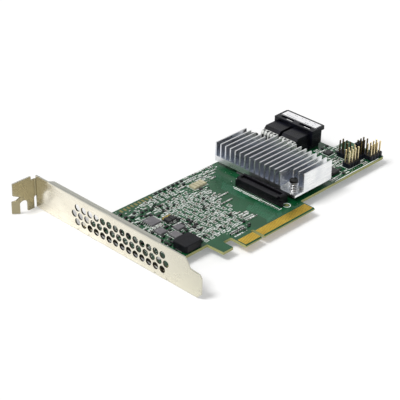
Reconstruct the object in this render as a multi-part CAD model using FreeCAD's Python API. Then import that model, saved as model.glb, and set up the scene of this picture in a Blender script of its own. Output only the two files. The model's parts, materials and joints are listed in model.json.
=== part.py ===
"""RAID controller card: a low-profile expansion board on a full-height steel bracket.

Frame (mm): the origin lies on the outer face of the bracket, level with the tip of the gold edge
contacts and with the component side of the board. +X runs along the board away from the bracket,
+Y runs from the edge contacts to the top edge of the board, +Z points out of the component side.
"""
import FreeCAD, Part
import math
import os

V = FreeCAD.Vector

# ---------------------------------------------------------------- driving dimensions (mm)
# circuit board
board_thickness = 1.57
board_reach = 167.65            # outer face of the bracket to the far edge of the board
board_top_edge = 68.9           # tip of the edge contacts to the top edge of the board
board_gap = 0.9                 # bracket sheet to the near edge of the board
near_lower_edge = 14.0          # lower edge beside the bracket
far_lower_edge = 9.85           # lower edge beyond the edge contacts
port_recess = 12.35             # how far the board is cut back under the ports
port_recess_low = 35.7          # where that cut-back ends
hook_start = 32.0               # retention hook in front of the edge contacts
hook_width = 6.9
hook_drop = 10.5
hook_gap_top = 10.4
hook_slant = 0.5                # how far the front of the hook leans
corner_round = 1.0

# edge contacts
tongue_start = 44.55
key_centre = 57.15
key_width = 1.9
key_depth = 8.0
key_flat = 0.02                 # half of the straight stretch left between the two rounds of the key
contact_pitch = 1.0
contact_width = 0.7
contact_length = 5.6
contact_thickness = 0.05
contacts_before_key = 11
contacts_after_key = 38
key_to_contact = 1.5            # centre of the key to the centre of the nearest contact
tongue_margin = 1.1             # centre of the last contact to the end of the tongue
bevel_height = 0.8
bevel_depth = 0.45

# bracket, one folded sheet
sheet = 0.86
bracket_length = 120.02
bracket_width = 18.42
bracket_low = -4.7              # lower long edge, on the solder side
bracket_seat = 106.82           # face of the tab that sits on the chassis
bend_inner = 0.5
tab_reach = 14.4
tab_width = 19.05
tab_low = -5.2
tip_width = 12.9
tip_straight = 7.5
tip_taper = 3.7
tip_low_corner = 2.4            # clipped corners of the tip
tip_high_corner = (1.2, 1.6)
tip_rise = 0.6                  # how far the tip widens over its straight stretch
flange_reach = 3.0
flange_start = 15.5
flange_end = 96.9
flange_slant = 2.1              # how far each end of the flange leans over its reach
flange_leg = 1.0                # straight sheet between the fold of the flange and the face
tab_leg = 3.0                   # straight sheet between the fold of the tab and the face
screw_notch_width = 6.1
screw_notch_centre = 8.15       # outwards from the face of the bracket
screw_notch_top = 1.8
finger_start = 2.45             # middle of the notch to the root of the outer finger
finger_slit = (2.6, 4.4, 6.9)   # wedge slit: height of its low end, its point and its high end
finger_slit_point = 0.9         # the point of the slit, this far inside the root
finger_top = (3.4, 2.0)         # height of the finger at its root and at its end
finger_lift = 0.4               # the finger starts this far above the lower edge of the tab
finger_angle = 38
finger_web = (1.9, 3.9)         # sheet that still joins the finger to the tab, low and high
finger_web_reach = 0.9
tab_end_relief = (2.65, 2.64, 2.3)   # relief at the high end of the fold: across, down, along
tab_low_relief = 0.2            # top of the relief at the low end of the fold
tab_low_relief_width = 3.9
vent_hole = 3.95
vent_sides = 10                 # flats round each hole
vent_pitch = 4.67
vent_holes = 14
vent_first = 13.45
vent_lowest_row = 0.0
vent_rows = 3
ear_fold_width = 7.4
ear_folds = (14.35, 69.85)      # middles of the two folded necks
ear_inset = 7.0                 # how far each ear reaches in from its neck, over the board
ear_reach = 9.6
ear_step = 1.6                  # face of the bracket to the upright part of an ear
ear_relief = 0.7                # slots in the face beside each neck
ear_relief_depth = 1.0
screw_thread = 2.9
screw_head = 5.6
screw_head_height = 1.9
screw_from_face = 6.2
screw_end = 0.4                 # how far a screw stands out below its ear

# heatsink and the chip below it
heatsink_to_far_edge = 44.75    # far face of the heatsink to the far edge of the board
heatsink_y = 11.0
heatsink_length = 29.4
heatsink_width = 57.0
heatsink_seat = 2.5             # underside of the base above the board
heatsink_base = 3.3
fin_top = 13.8
fin_count = 17
fin_root = 1.0
fin_tip = 0.7
ear_thickness = 1.3
near_pocket = (7.0, 10.0)
far_pocket = (5.5, 16.2)
chip_size = 27.0
chip_height = 1.3
lid_size = 19.0
lid_height = 0.9
lid_chamfer = 0.3
pad_margin = 0.5                # edge of the lid to the edge of the thermal pad
near_pin_inset = (3.6, 4.2)       # from the two edges of the base
far_pin_inset = (2.9, 4.2)
push_pin_shank = 2.6
push_pin_head = 4.5
push_pin_head_height = 1.3
push_pin_barb = 2.3             # length of the split barb below the board
barb_catch = 0.25               # how far the barb stands out past its hole
barb_tip = 0.7
barb_split = 0.5
spring_height = 5.4
spring_wire = 0.45
spring_coils = 4
spring_chords = 9               # straight chords in each turn
spring_clearance = 0.3          # shank to the inside of the spring
spring_end_gap = 0.05
hole_clearance = 0.2            # on the radius of every through-hole

# board-to-board socket in front of the heatsink
socket_to_heatsink = 2.0
socket_y = 14.2
socket_width = 7.0
socket_length = 30.3
socket_height = 5.0
socket_slot = 3.2
socket_floor = 1.2
socket_end_wall = 1.6
socket_chamfer = 0.4
socket_tongue = 1.0
socket_tongue_end = 2.4         # end of the socket to the end of its centre tongue
socket_tongue_drop = 0.8        # rim to the top of the tongue
socket_key = (1.2, 1.4, 1.5)    # stepped corners: across, along, down
socket_pitch = 1.2
socket_contacts = 23
socket_blade = (0.12, 0.24)     # thickness and width
socket_blade_drop = 1.1         # rim to the top of a blade
socket_lead = (0.28, 0.25)      # width and thickness
socket_lead_reach = 1.2
socket_foot = (1.8, 1.9, 2.4)   # moulded foot beside the guide hole: along x, along y, height
guide_hole_offset = (0.4, 2.3)  # off the middle line of the socket, below its lower end
guide_hole_radius = 1.1

# twin cable port at the far edge
port_set_in = 0.7               # front of the port behind the cut-back edge of the board
port_below_top = 13.15          # middle of the twin port below the top edge of the board
port_pitch = 12.7
port_body_width = 10.9
port_body_height = 9.8
port_body_depth = 14.0
collar_width = 27.7
collar_depth = 11.0
collar_height = 11.6
port_lip = 3.0                  # how far the roof stands out over the two mouths
mouth_width = 10.4
mouth_height = 8.0
mouth_floor = 1.7
mouth_depth = 11.2              # from the edge of the roof
nose_setback = 7.0
nose_root = 2.0                 # how far the nose is let into the wall behind the mouth
nose_side_gap = 0.7
nose_height_gap = 0.9
card_slot_height = 1.2
card_slot_width = 8.6
card_slot_pitch = 3.9
card_slot_depth = 3.0
blades_per_row = 8
blade_pitch = 0.9
blade_size = (0.36, 0.15)       # width and thickness
blade_set_in = 0.4              # front of a card slot to the tip of its blades
latch_window = (8.4, 2.2)       # along y, along x
latch_window_setback = 1.4
latch_channel = 0.7             # channel in the roof of a mouth, ahead of its window
collar_chamfer = 0.8
collar_step = 2.4               # the collar is cut away this high beside the lower body
collar_step_gap = 0.6           # lower body to that cut
collar_board_gap = 0.3          # cut-back edge of the board to that cut
body_slope = 1.6                # sloped roof edge at the back of each body
comb_depth = 2.9
comb_side_gap = 0.3             # side of the body to the side of its comb
comb_top_slope = (0.8, 1.0)
comb_slots = 4
comb_slot = (1.1, 0.7, 0.8)     # depth, width, height of the slot's foot
label_front_margin = 1.1
label_back_margin = 0.4
label_side_margin = 1.2
label_thickness = 0.15
port_tail_length = 1.5
port_tail_setback = (5.0, 2.0)  # behind the back of the body, and behind the collar
port_tail_spread = 3.2          # each side of the middle of a body

# pin headers
pin_pitch = 2.54
pin_square = 0.64
header_base = 2.54
header_notch = 0.5
header_shrink = 0.02            # each side of a base lies this far inside its pitch
pin_tail = 1.6
pin_point = 0.22                # chamfer round the tip of a pin
# first pin short of the far edge, first pin above the lower edge, height of the pin tips
headers = {
    "corner": (8.95, 2.35, 9.3),
    "back": (11.45, 7.45, 10.6),
    "middle": (24.35, 5.35, 10.3),
    "inner": (17.35, 12.45, 9.7),
}
header_columns = {"corner": 4, "back": 3, "middle": 4, "inner": 2}
header_rows = {"corner": 2, "back": 2, "middle": 2, "inner": 3}
shunt_wall = 0.9
shunt_height = 6.4
shunt_chamfer = 0.4

# parts near the bracket
choke_corner = (17.4, 14.6)
choke_size = (11.6, 10.0)
choke_height = 4.2
choke_chamfer = 1.0
choke_top_chamfer = 0.35
choke_stand_off = 0.3
choke_foot = (2.5, 4.0)         # length and width of each plated foot
choke_foot_reach = 0.3          # how far a foot shows past the end of the choke

# moulded chips: (low x, low y, length along x, length along y, height); the two beyond the heatsink are
# placed from the far edge of the board
power_controller_place = (23.2, 44.6, 6.8, 6.8, 0.95)
power_transistor_places = ((20.8, 35.6, 4.9, 4.9, 1.0), (23.9, 28.2, 4.9, 5.3, 1.0))
gate_driver_place = (30.2, 32.6, 4.9, 3.9, 1.1)
flash_chip_place = (board_reach - 38.05, 14.8, 5.4, 5.3, 1.8)
buffer_chip_place = (board_reach - 22.05, 31.2, 4.4, 3.9, 1.1)
chip_chamfer = 0.15
lead_pitch = 1.27
lead_metal = 0.15
lead_width = 0.38
lead_knee = 0.3                 # body to the bend of a lead
lead_reach = 1.0
lead_stand_off = 0.1            # body of a leaded chip above the board

# small parts
tantalum_size = (2.5, 5.4, 1.9)
tantalum_first = (32.5, 43.1)
tantalum_pitch = 2.9
filter_size = (1.9, 4.6, 1.2)
filter_first = (26.9, 58.1)       # short of the heatsink, above the lower edge
filter_pitch = 2.3
filter_count = 4
capacitor_size = (0.8, 1.6, 0.8)
resistor_size = (1.0, 0.5, 0.35)
coupling_size = (0.9, 1.7, 0.9)
memory_size = (9.0, 13.2, 1.05)
memory_first = (33.5, 27.0)
memory_pitch = 11.4
memory_to_heatsink = 2.0        # least gap before the near push pin's side of the heatsink
# rows of small parts between bracket and socket, each as (first x, y, end of the row short of the socket)
capacitor_spacing = 4.2
capacitor_rows = (
    (37.6, 63.6, 20.0),
    (38.2, 56.2, 23.0),
    (39.4, 50.6, 17.0),
    (38.8, 44.6, 16.0),
    (39.6, 38.6, 17.0),
    (37.4, 32.2, 17.0),
    (32.4, 26.0, 20.0),
    (33.2, 19.6, 19.0),
)
resistor_spacing = 4.0
resistor_rows = (
    (38.0, 60.6, 25.0),
    (37.6, 53.4, 20.0),
    (39.0, 47.8, 19.0),
    (39.4, 41.6, 18.0),
    (37.8, 35.4, 19.0),
    (36.2, 29.2, 20.0),
    (32.6, 22.8, 23.0),
    (33.8, 16.6, 24.0),
)
# rows beside the bracket, as (first x, y), each of three parts
bracket_side_capacitors = ((6.2, 30.0), (6.2, 54.8))
bracket_side_resistors = ((6.4, 41.2), (6.4, 57.8))
bracket_side_spacing = 3.2
bracket_side_count = 3
# rows beyond the heatsink, as (first part short of the far edge, y), each of four parts
far_capacitors = ((41.25, 30.4),)
far_resistors = ((41.45, 25.4),)
far_spacing = 3.1
far_count = 4
# rows on the solder side, above and below the memory and under the heatsink
memory_side_ys = (44.0, 23.6)
memory_side_spacing = 7.5
under_heatsink_ys = (30.0, 48.0)
under_heatsink_spacing = 6.5
under_heatsink_inset = 4.5
coupling_row = (46.4, 11.8, 1.5)
coupling_count = 7

overlap = 0.1                   # how far shapes that become one solid run into each other
past = 1.0                      # how far a cutting shape runs past the surface that it cuts
tolerance = 0.01                # for finding edges by their place

os.makedirs("parts", exist_ok=True)


# ---------------------------------------------------------------- helpers
def box(x0, x1, y0, y1, z0, z1):
    """A block between two corners."""
    return Part.makeBox(x1 - x0, y1 - y0, z1 - z0, V(x0, y0, z0))


def rod(x, y, z0, z1, radius):
    """A round rod standing along Z."""
    return Part.makeCylinder(radius, z1 - z0, V(x, y, z0))


def square_post(x, y, z0, z1):
    """A square post of the size of a header pin."""
    side = pin_square / 2
    return box(x - side, x + side, y - side, y + side, z0, z1)


def prism(points, travel):
    """A closed polygon extruded along a vector."""
    corners = [V(*p) for p in points]
    face = Part.Face(Part.makePolygon(corners + corners[:1]))
    return face.extrude(V(*travel))


def slab(points, z0, z1):
    """A polygon drawn in plan, from z0 to z1."""
    return prism([(x, y, z0) for x, y in points], (0, 0, z1 - z0))


def save(node, *solids):
    """Write one node; a node may hold several separate solids."""
    shape = solids[0] if len(solids) == 1 else Part.makeCompound(list(solids))
    shape.exportStep("parts/" + node + ".step")


def standing_edges(shape, *places):
    """The edges along Z that stand at the given plan places."""
    found = []
    for edge in shape.Edges:
        start, end = edge.Vertexes[0].Point, edge.Vertexes[-1].Point
        upright = math.hypot(start.x - end.x, start.y - end.y) < tolerance
        if upright and any(math.hypot(start.x - x, start.y - y) < tolerance for x, y in places):
            found.append(edge)
    return found


def top_edges(shape):
    """The edges round the top face of a block."""
    return [edge for edge in shape.Edges if edge.BoundBox.ZMin > shape.BoundBox.ZMax - tolerance]


# ---------------------------------------------------------------- shared positions
board_start = sheet + board_gap
board_under = -board_thickness
bracket_high = bracket_low + bracket_width
bracket_end = bracket_seat + sheet
bracket_tip = bracket_end - bracket_length
contact_xs = [key_centre - key_to_contact - k * contact_pitch for k in range(contacts_before_key)]
contact_xs += [key_centre + key_to_contact + k * contact_pitch for k in range(contacts_after_key)]
tongue_end = max(contact_xs) + tongue_margin
heatsink_end = board_reach - heatsink_to_far_edge
heatsink_x = heatsink_end - heatsink_length
socket_x = heatsink_x - socket_to_heatsink - socket_width
heatsink_top_y = heatsink_y + heatsink_width
base_top = heatsink_seat + heatsink_base
heatsink_middle = (heatsink_x + heatsink_length / 2, heatsink_y + heatsink_width / 2)
push_pin_places = [
    (heatsink_x + near_pin_inset[0], heatsink_y + near_pin_inset[1]),
    (heatsink_end - far_pin_inset[0], heatsink_top_y - far_pin_inset[1]),
]
screw_places = [
    (screw_from_face, ear_folds[0] + ear_fold_width / 2 + ear_inset / 2),
    (screw_from_face, ear_folds[1] - ear_fold_width / 2 - ear_inset / 2),
]
port_front = board_reach - port_recess - port_set_in
port_centre = board_top_edge - port_below_top
port_centres = [port_centre - port_pitch / 2, port_centre + port_pitch / 2]
port_back = port_front - collar_depth - port_body_depth
nose_width = mouth_width - 2 * nose_side_gap
nose_low = mouth_floor + nose_height_gap
nose_high = mouth_floor + mouth_height - nose_height_gap
socket_middle = socket_x + socket_width / 2
guide_hole = (socket_middle + guide_hole_offset[0], socket_y - guide_hole_offset[1])


def header_corner(name):
    """Plan position of the first pin of one header."""
    return board_reach - headers[name][0], far_lower_edge + headers[name][1]


def header_pins(name):
    """Plan positions of every pin of one header."""
    x, y = header_corner(name)
    columns, rows = header_columns[name], header_rows[name]
    return [(x + i * pin_pitch, y + j * pin_pitch) for j in range(rows) for i in range(columns)]


# ---------------------------------------------------------------- circuit board
def circuit_board():
    hook_low = near_lower_edge - hook_drop
    hook_end = hook_start + hook_width
    outline = [
        (board_start, near_lower_edge),
        (hook_start - hook_slant, near_lower_edge),
        (hook_start, hook_low),
        (hook_end, hook_low),
        (hook_end, hook_gap_top),
        (tongue_start, hook_gap_top),
        (tongue_start, 0),
        (key_centre - key_width / 2, 0),
        (key_centre - key_width / 2, key_depth),
        (key_centre + key_width / 2, key_depth),
        (key_centre + key_width / 2, 0),
        (tongue_end, 0),
        (tongue_end, far_lower_edge),
        (board_reach, far_lower_edge),
        (board_reach, port_recess_low),
        (board_reach - port_recess, port_recess_low),
        (board_reach - port_recess, board_top_edge),
        (board_start, board_top_edge),
    ]
    board = slab(outline, board_under, 0)
    inner_x = board_reach - port_recess
    rounded = standing_edges(
        board, (hook_end, hook_gap_top), (tongue_start, hook_gap_top), (tongue_end, far_lower_edge),
        (board_reach, far_lower_edge), (board_reach, port_recess_low), (inner_x, port_recess_low),
    )
    board = board.makeFillet(corner_round, rounded)
    half_key = key_width / 2
    key_ends = standing_edges(board, (key_centre - half_key, key_depth), (key_centre + half_key, key_depth))
    board = board.makeFillet(half_key - key_flat, key_ends)
    # lead-in bevels along the contact tongue, on both sides
    for side, inward in ((0, -1), (board_under, 1)):
        start, length = tongue_start - past, tongue_end - tongue_start + 2 * past
        tip, depth = -overlap, side + inward * bevel_depth
        wedge = [(start, tip, side), (start, bevel_height, side), (start, tip, depth)]
        board = board.cut(prism(wedge, (length, 0, 0)))
    below = board_under - past
    holes = [rod(x, y, below, past, screw_thread / 2 + hole_clearance) for x, y in screw_places]
    holes += [rod(x, y, below, past, push_pin_shank / 2 + hole_clearance) for x, y in push_pin_places]
    holes.append(rod(guide_hole[0], guide_hole[1], below, past, guide_hole_radius))
    # solder fills the holes of the soldered pins, so they close round the square posts
    soldered = [place for name in headers for place in header_pins(name)] + port_tail_places()
    holes += [square_post(x, y, below, past) for x, y in soldered]
    return board.cut(Part.makeCompound(holes))


def edge_contacts(surface, outward):
    """The gold contacts of one side, each a thin pad on the board."""
    low, high = sorted((surface, surface + outward * contact_thickness))
    half, end = contact_width / 2, bevel_height + contact_length
    return [box(x - half, x + half, bevel_height, end, low, high) for x in contact_xs]


# ---------------------------------------------------------------- bracket
def bend_profile(along, across, corner_x, corner_y, z0, z1):
    """A right-angle strip of sheet seen in plan: one leg along +X or -X, one along -Y, with a round bend.

    corner_x and corner_y are the outer planes of the two legs; along and across are the leg lengths,
    and the sign of along gives the direction of the leg.
    """
    turn = 1 if along > 0 else -1
    outer = bend_inner + sheet
    centre = V(corner_x + turn * outer, corner_y - outer, z0)
    diagonal = math.sqrt(0.5)

    def arc(radius):
        start = centre + V(-turn * radius, 0, 0)
        middle = centre + V(-turn * radius * diagonal, radius * diagonal, 0)
        end = centre + V(0, radius, 0)
        return start, Part.Arc(start, middle, end).toShape(), end

    outer_start, outer_arc, outer_end = arc(outer)
    inner_start, inner_arc, inner_end = arc(bend_inner)
    foot_outer = V(corner_x, corner_y - across, z0)
    foot_inner = V(corner_x + turn * sheet, corner_y - across, z0)
    toe_outer = V(corner_x + along, corner_y, z0)
    toe_inner = V(corner_x + along, corner_y - sheet, z0)
    edges = [
        Part.makeLine(foot_outer, outer_start),
        outer_arc,
        Part.makeLine(outer_end, toe_outer),
        Part.makeLine(toe_outer, toe_inner),
        Part.makeLine(toe_inner, inner_end),
        inner_arc,
        Part.makeLine(inner_start, foot_inner),
        Part.makeLine(foot_inner, foot_outer),
    ]
    return Part.Face(Part.Wire(Part.__sortEdges__(edges))).extrude(V(0, 0, z1 - z0))


def bracket_plate():
    """The flat face of the bracket, with its narrowed tip."""
    tip_high = bracket_low + tip_width
    tip_top = bracket_tip + tip_straight
    bend_start = bracket_end - bend_inner - sheet
    outline = [
        (bend_start, bracket_low),
        (bracket_tip + tip_low_corner, bracket_low),
        (bracket_tip, bracket_low + tip_low_corner),
        (bracket_tip, tip_high - tip_high_corner[1]),
        (bracket_tip + tip_high_corner[0], tip_high),
        (tip_top, tip_high + tip_rise),
        (tip_top + tip_taper, bracket_high),
        (bend_start, bracket_high),
    ]
    return prism([(0, y, z) for y, z in outline], (sheet, 0, 0))


def bracket_tab():
    """The bent-over tab with its screw notch, its relief cuts and its turned-out finger."""
    tab_high = tab_low + tab_width
    across = bend_inner + sheet + tab_leg
    tab = bend_profile(-(tab_reach + sheet), across, sheet, bracket_end, tab_low, tab_high)
    seat, out = bracket_seat - past, bracket_end + past
    outer_edge = -tab_reach - overlap
    # screw notch, open on the solder side, with a round top
    half = screw_notch_width / 2
    spring_line = screw_notch_top - half
    middle = -screw_notch_centre
    notch = box(middle - half, middle + half, seat, out, tab_low - past, spring_line)
    arch = Part.makeCylinder(half, out - seat, V(middle, seat, spring_line), V(0, 1, 0))
    # wedge slit that frees the outer finger
    root = middle - finger_start
    slit_low, slit_point, slit_high = finger_slit
    wedge = [(root + finger_slit_point, seat, slit_point)]
    wedge += [(outer_edge, seat, slit_high), (outer_edge, seat, slit_low)]
    slit = prism(wedge, (0, out - seat, 0))
    below_slit = box(outer_edge, root, seat, out, tab_low - past, finger_top[0])
    # relief cuts at both ends of the fold
    across_relief, down_relief, along_relief = tab_end_relief
    inside = sheet + past
    upper_start, upper_low = bracket_end - sheet - down_relief, tab_high - along_relief
    upper = box(-across_relief, inside, upper_start, out, upper_low, tab_high + past)
    low_half = tab_low_relief_width / 2
    lower = box(-past, inside, bracket_end - tab_low_relief_width, out, tab_low - past, tab_low_relief)
    arch_centre = V(-past, bracket_end - low_half, tab_low_relief)
    lower_arch = Part.makeCylinder(low_half, inside + past, arch_centre, V(1, 0, 0))
    tab = tab.cut(Part.makeCompound([notch, arch, slit, below_slit, upper, lower, lower_arch]))
    # the outer finger, turned out of the plane of the tab about a line along Z
    reach = outer_edge - root
    inner, finger_low = finger_web_reach / 2, tab_low + finger_lift
    blank = [(inner, 0, finger_low), (reach, 0, finger_low)]
    blank += [(reach, 0, finger_top[1]), (inner, 0, finger_top[0])]
    finger = prism(blank, (0, sheet, 0))
    finger.rotate(V(0, sheet / 2, 0), V(0, 0, 1), -finger_angle)
    finger.translate(V(root, bracket_seat, 0))
    web_low, web_high = finger_web
    web = box(root - inner, root + finger_slit_point, bracket_seat, bracket_end, web_low, web_high)
    return tab.fuse([finger, web]).removeSplitter()


def stiffening_flange():
    """The strip folded inwards along the component-side edge, with slanted ends."""
    rise = bend_inner + sheet + flange_leg
    length = flange_end - flange_start
    strip = bend_profile(flange_reach, rise, 0, 0, 0, length)
    # turn the strip so that it runs along +Y with its fold on the high edge of the plate
    strip.rotate(V(0, 0, 0), V(1, 0, 0), 90)
    strip.translate(V(0, flange_end, bracket_high))
    under, reach = bracket_high - sheet - past, flange_reach + overlap
    for end, inward in ((flange_start, 1), (flange_end, -1)):
        outside = end - inward * overlap
        corner = [(sheet + overlap, outside, under), (reach, outside, under)]
        corner.append((reach, end + inward * flange_slant, under))
        strip = strip.cut(prism(corner, (0, 0, sheet + 2 * past)))
    return strip


def board_ear(middle, inward):
    """A folded ear: a neck from the lower edge, a joggle up to the board, and a pad under the board."""
    low, high = middle - ear_fold_width / 2, middle + ear_fold_width / 2
    under = board_under - sheet
    rise = ear_step + sheet
    profile = [
        (0, bracket_low),
        (rise, bracket_low),
        (rise, under),
        (ear_reach, under),
        (ear_reach, board_under),
        (ear_step, board_under),
        (ear_step, bracket_low + sheet),
        (0, bracket_low + sheet),
    ]
    ear = prism([(x, low, z) for x, z in profile], (0, ear_fold_width, 0))
    start, end = (high - overlap, high + ear_inset) if inward > 0 else (low - ear_inset, low + overlap)
    return ear.fuse(box(rise, ear_reach, start, end, under, board_under))


def vent_pattern():
    """Three staggered rows of round holes through the face, each drawn with short flats."""
    holes = []
    row_pitch = vent_pitch * math.sqrt(3) / 2
    radius = vent_hole / 2
    for row in range(vent_rows):
        extra = row % 2
        start = vent_first - extra * vent_pitch / 2
        z = vent_lowest_row + row * row_pitch
        for k in range(vent_holes + extra):
            y = start + k * vent_pitch
            angles = [2 * math.pi * corner / vent_sides for corner in range(vent_sides)]
            rim = [(-past, y + radius * math.cos(angle), z + radius * math.sin(angle)) for angle in angles]
            holes.append(prism(rim, (sheet + 2 * past, 0, 0)))
    return holes


def bracket():
    body = bracket_plate()
    fold_start = bracket_high - bend_inner - sheet
    high_cut = box(-past, sheet + past, flange_start, flange_end, fold_start, bracket_high + past)
    body = body.cut(high_cut)
    ears = [board_ear(ear_folds[0], 1), board_ear(ear_folds[1], -1)]
    body = body.fuse([bracket_tab(), stiffening_flange()] + ears)
    cuts = vent_pattern()
    for middle in ear_folds:
        for side in (-1, 1):
            y = middle + side * (ear_fold_width + ear_relief) / 2
            low, high = y - ear_relief / 2, y + ear_relief / 2
            top = bracket_low + ear_relief_depth
            cuts.append(box(-past, sheet + past, low, high, bracket_low - past, top))
    for x, y in screw_places:
        cuts.append(rod(x, y, board_under - sheet - past, board_under + past, screw_thread / 2))
    body = body.cut(Part.makeCompound(cuts))
    return body.removeSplitter()


def bracket_screw(x, y):
    """A pan-head screw: shank through the board into the ear, head on the component side."""
    rim, shank = screw_head / 2, screw_thread / 2
    end = board_under - sheet - screw_end
    profile = [
        (0, screw_head_height),
        (rim, screw_head_height),
        (rim, 0),
        (shank, 0),
        (shank, end),
        (0, end),
    ]
    corners = [V(x + r, y, z) for r, z in profile]
    return Part.Face(Part.makePolygon(corners + corners[:1])).revolve(V(x, y, 0), V(0, 0, 1), 360)


# ---------------------------------------------------------------- heatsink group
def heatsink():
    """An extruded comb of tapered fins on a base, with two corners milled back for the push pins."""
    pitch = (heatsink_width - fin_root) / (fin_count - 1)
    comb = [(heatsink_y, heatsink_seat), (heatsink_top_y, heatsink_seat)]
    taper = (fin_root - fin_tip) / 2
    for k in reversed(range(fin_count)):
        low = heatsink_y + k * pitch
        high = low + fin_root
        comb += [(high, base_top), (high - taper, fin_top), (low + taper, fin_top), (low, base_top)]
    # the outermost fin flanks continue straight down into the base
    body = prism([(heatsink_x, y, z) for y, z in comb], (heatsink_length, 0, 0))
    near_x = heatsink_x + near_pocket[0]
    near_y = heatsink_y + near_pocket[1]
    far_x = heatsink_end - far_pocket[0]
    far_y = heatsink_top_y - far_pocket[1]
    ear_top = heatsink_seat + ear_thickness
    pockets = [
        box(heatsink_x - past, near_x, heatsink_y - past, near_y, ear_top, fin_top + past),
        box(far_x, heatsink_end + past, far_y, heatsink_top_y + past, ear_top, fin_top + past),
    ]
    holes = [rod(x, y, heatsink_seat - past, base_top + past, push_pin_shank / 2 + hole_clearance)
             for x, y in push_pin_places]
    return body.cut(Part.makeCompound(pockets + holes))


def push_pin(x, y):
    """A turned pin: flat head, shank through spring, heatsink and board, split barb below."""
    ear_top = heatsink_seat + ear_thickness
    head_low = ear_top + spring_height
    head_high = head_low + push_pin_head_height
    shank = push_pin_shank / 2
    hole = shank + hole_clearance
    profile = [
        (0, head_high),
        (push_pin_head / 2, head_high),
        (push_pin_head / 2, head_low),
        (shank, head_low),
        (shank, board_under),
        (hole + barb_catch, board_under),
        (barb_tip, board_under - push_pin_barb),
        (0, board_under - push_pin_barb),
    ]
    wire = [(x + r, y, z) for r, z in profile]
    face = Part.Face(Part.makePolygon([V(*p) for p in wire + wire[:1]]))
    pin = face.revolve(V(x, y, 0), V(0, 0, 1), 360)
    half_split = barb_split / 2
    split = box(x - half_split, x + half_split, y - hole - past, y + hole + past,
                board_under - push_pin_barb - past, board_under)
    return pin.cut(split)


def push_pin_spring(x, y):
    """A square-wire compression spring, its helix drawn as short chords with mitred joints."""
    radius = push_pin_shank / 2 + spring_clearance + spring_wire / 2
    rise = (spring_height - spring_wire - 2 * spring_end_gap) / spring_coils
    low = heatsink_seat + ear_thickness + spring_end_gap + spring_wire / 2
    path = []
    for k in range(spring_coils * spring_chords + 1):
        turn = k / spring_chords
        angle = 2 * math.pi * turn
        path.append(V(x + radius * math.cos(angle), y + radius * math.sin(angle), low + rise * turn))
    half = spring_wire / 2
    across = (path[1] - path[0]).cross(V(0, 0, 1)).normalize() * half
    up = across.cross(path[1] - path[0]).normalize() * half
    section = [path[0] - across - up, path[0] + across - up, path[0] + across + up, path[0] - across + up]
    wire = Part.makePolygon(section + section[:1])
    mitred = 1
    return Part.makePolygon(path).makePipeShell([wire], True, True, mitred)


def controller_chip():
    """The controller's ball-grid package with its metal lid."""
    x, y = heatsink_middle
    half, lid = chip_size / 2, lid_size / 2
    package = box(x - half, x + half, y - half, y + half, 0, chip_height)
    cover = box(x - lid, x + lid, y - lid, y + lid, chip_height, chip_height + lid_height)
    cover = cover.makeChamfer(lid_chamfer, top_edges(cover))
    return package.fuse(cover)


def thermal_pad():
    x, y = heatsink_middle
    half = lid_size / 2 - pad_margin
    return box(x - half, x + half, y - half, y + half, chip_height + lid_height, heatsink_seat)


# ---------------------------------------------------------------- board-to-board socket
def socket_housing():
    """A long socket: outer walls, a slot with a centre tongue, and two keyed corners."""
    x0, x1 = socket_x, socket_x + socket_width
    y0, y1 = socket_y, socket_y + socket_length
    half_slot, half_tongue = socket_slot / 2, socket_tongue / 2
    body = box(x0, x1, y0, y1, 0, socket_height)
    body = body.makeChamfer(socket_chamfer, top_edges(body))
    middle, wall, end, above = socket_middle, socket_end_wall, socket_tongue_end, socket_height + past
    slot = box(middle - half_slot, middle + half_slot, y0 + wall, y1 - wall, socket_floor, above)
    tongue_top = socket_height - socket_tongue_drop
    tongue = box(middle - half_tongue, middle + half_tongue, y0 + end, y1 - end, socket_floor, tongue_top)
    key_across, key_along, key_down = socket_key
    steps = [
        box(x0 - past, x0 + key_across, low, high, socket_height - key_down, above)
        for low, high in ((y0 - past, y0 + key_along), (y1 - key_along, y1 + past))
    ]
    foot_length, foot_width, foot_height = socket_foot
    foot = box(x0, x0 + foot_length, y0 - foot_width, y0 + overlap, 0, foot_height)
    return body.cut(slot).fuse([tongue, foot]).cut(steps)


def socket_contact_ys():
    span = (socket_contacts - 1) * socket_pitch
    first = socket_y + (socket_length - span) / 2
    return [first + k * socket_pitch for k in range(socket_contacts)]


def socket_contacts_gold():
    """Thin blades lying on both faces of the centre tongue."""
    face = socket_tongue / 2
    thickness, width = socket_blade
    top = socket_height - socket_blade_drop
    blades = []
    for y in socket_contact_ys():
        for side in (-1, 1):
            near, far = sorted((socket_middle + side * face, socket_middle + side * (face + thickness)))
            blades.append(box(near, far, y - width / 2, y + width / 2, socket_floor, top))
    return blades


def socket_leads():
    """Flat solder feet along both long sides."""
    feet = []
    width, thickness = socket_lead
    end = socket_x + socket_width
    for y in socket_contact_ys():
        low, high = y - width / 2, y + width / 2
        feet.append(box(socket_x - socket_lead_reach, socket_x, low, high, 0, thickness))
        feet.append(box(end, end + socket_lead_reach, low, high, 0, thickness))
    return feet


# ---------------------------------------------------------------- twin cable port
def port_tail_places():
    """Board pins of the port housing, two under each body."""
    places = []
    for centre in port_centres:
        for x in (port_back + port_tail_setback[0], port_front - collar_depth - port_tail_setback[1]):
            places += [(x, centre - port_tail_spread), (x, centre + port_tail_spread)]
    return places


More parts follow.
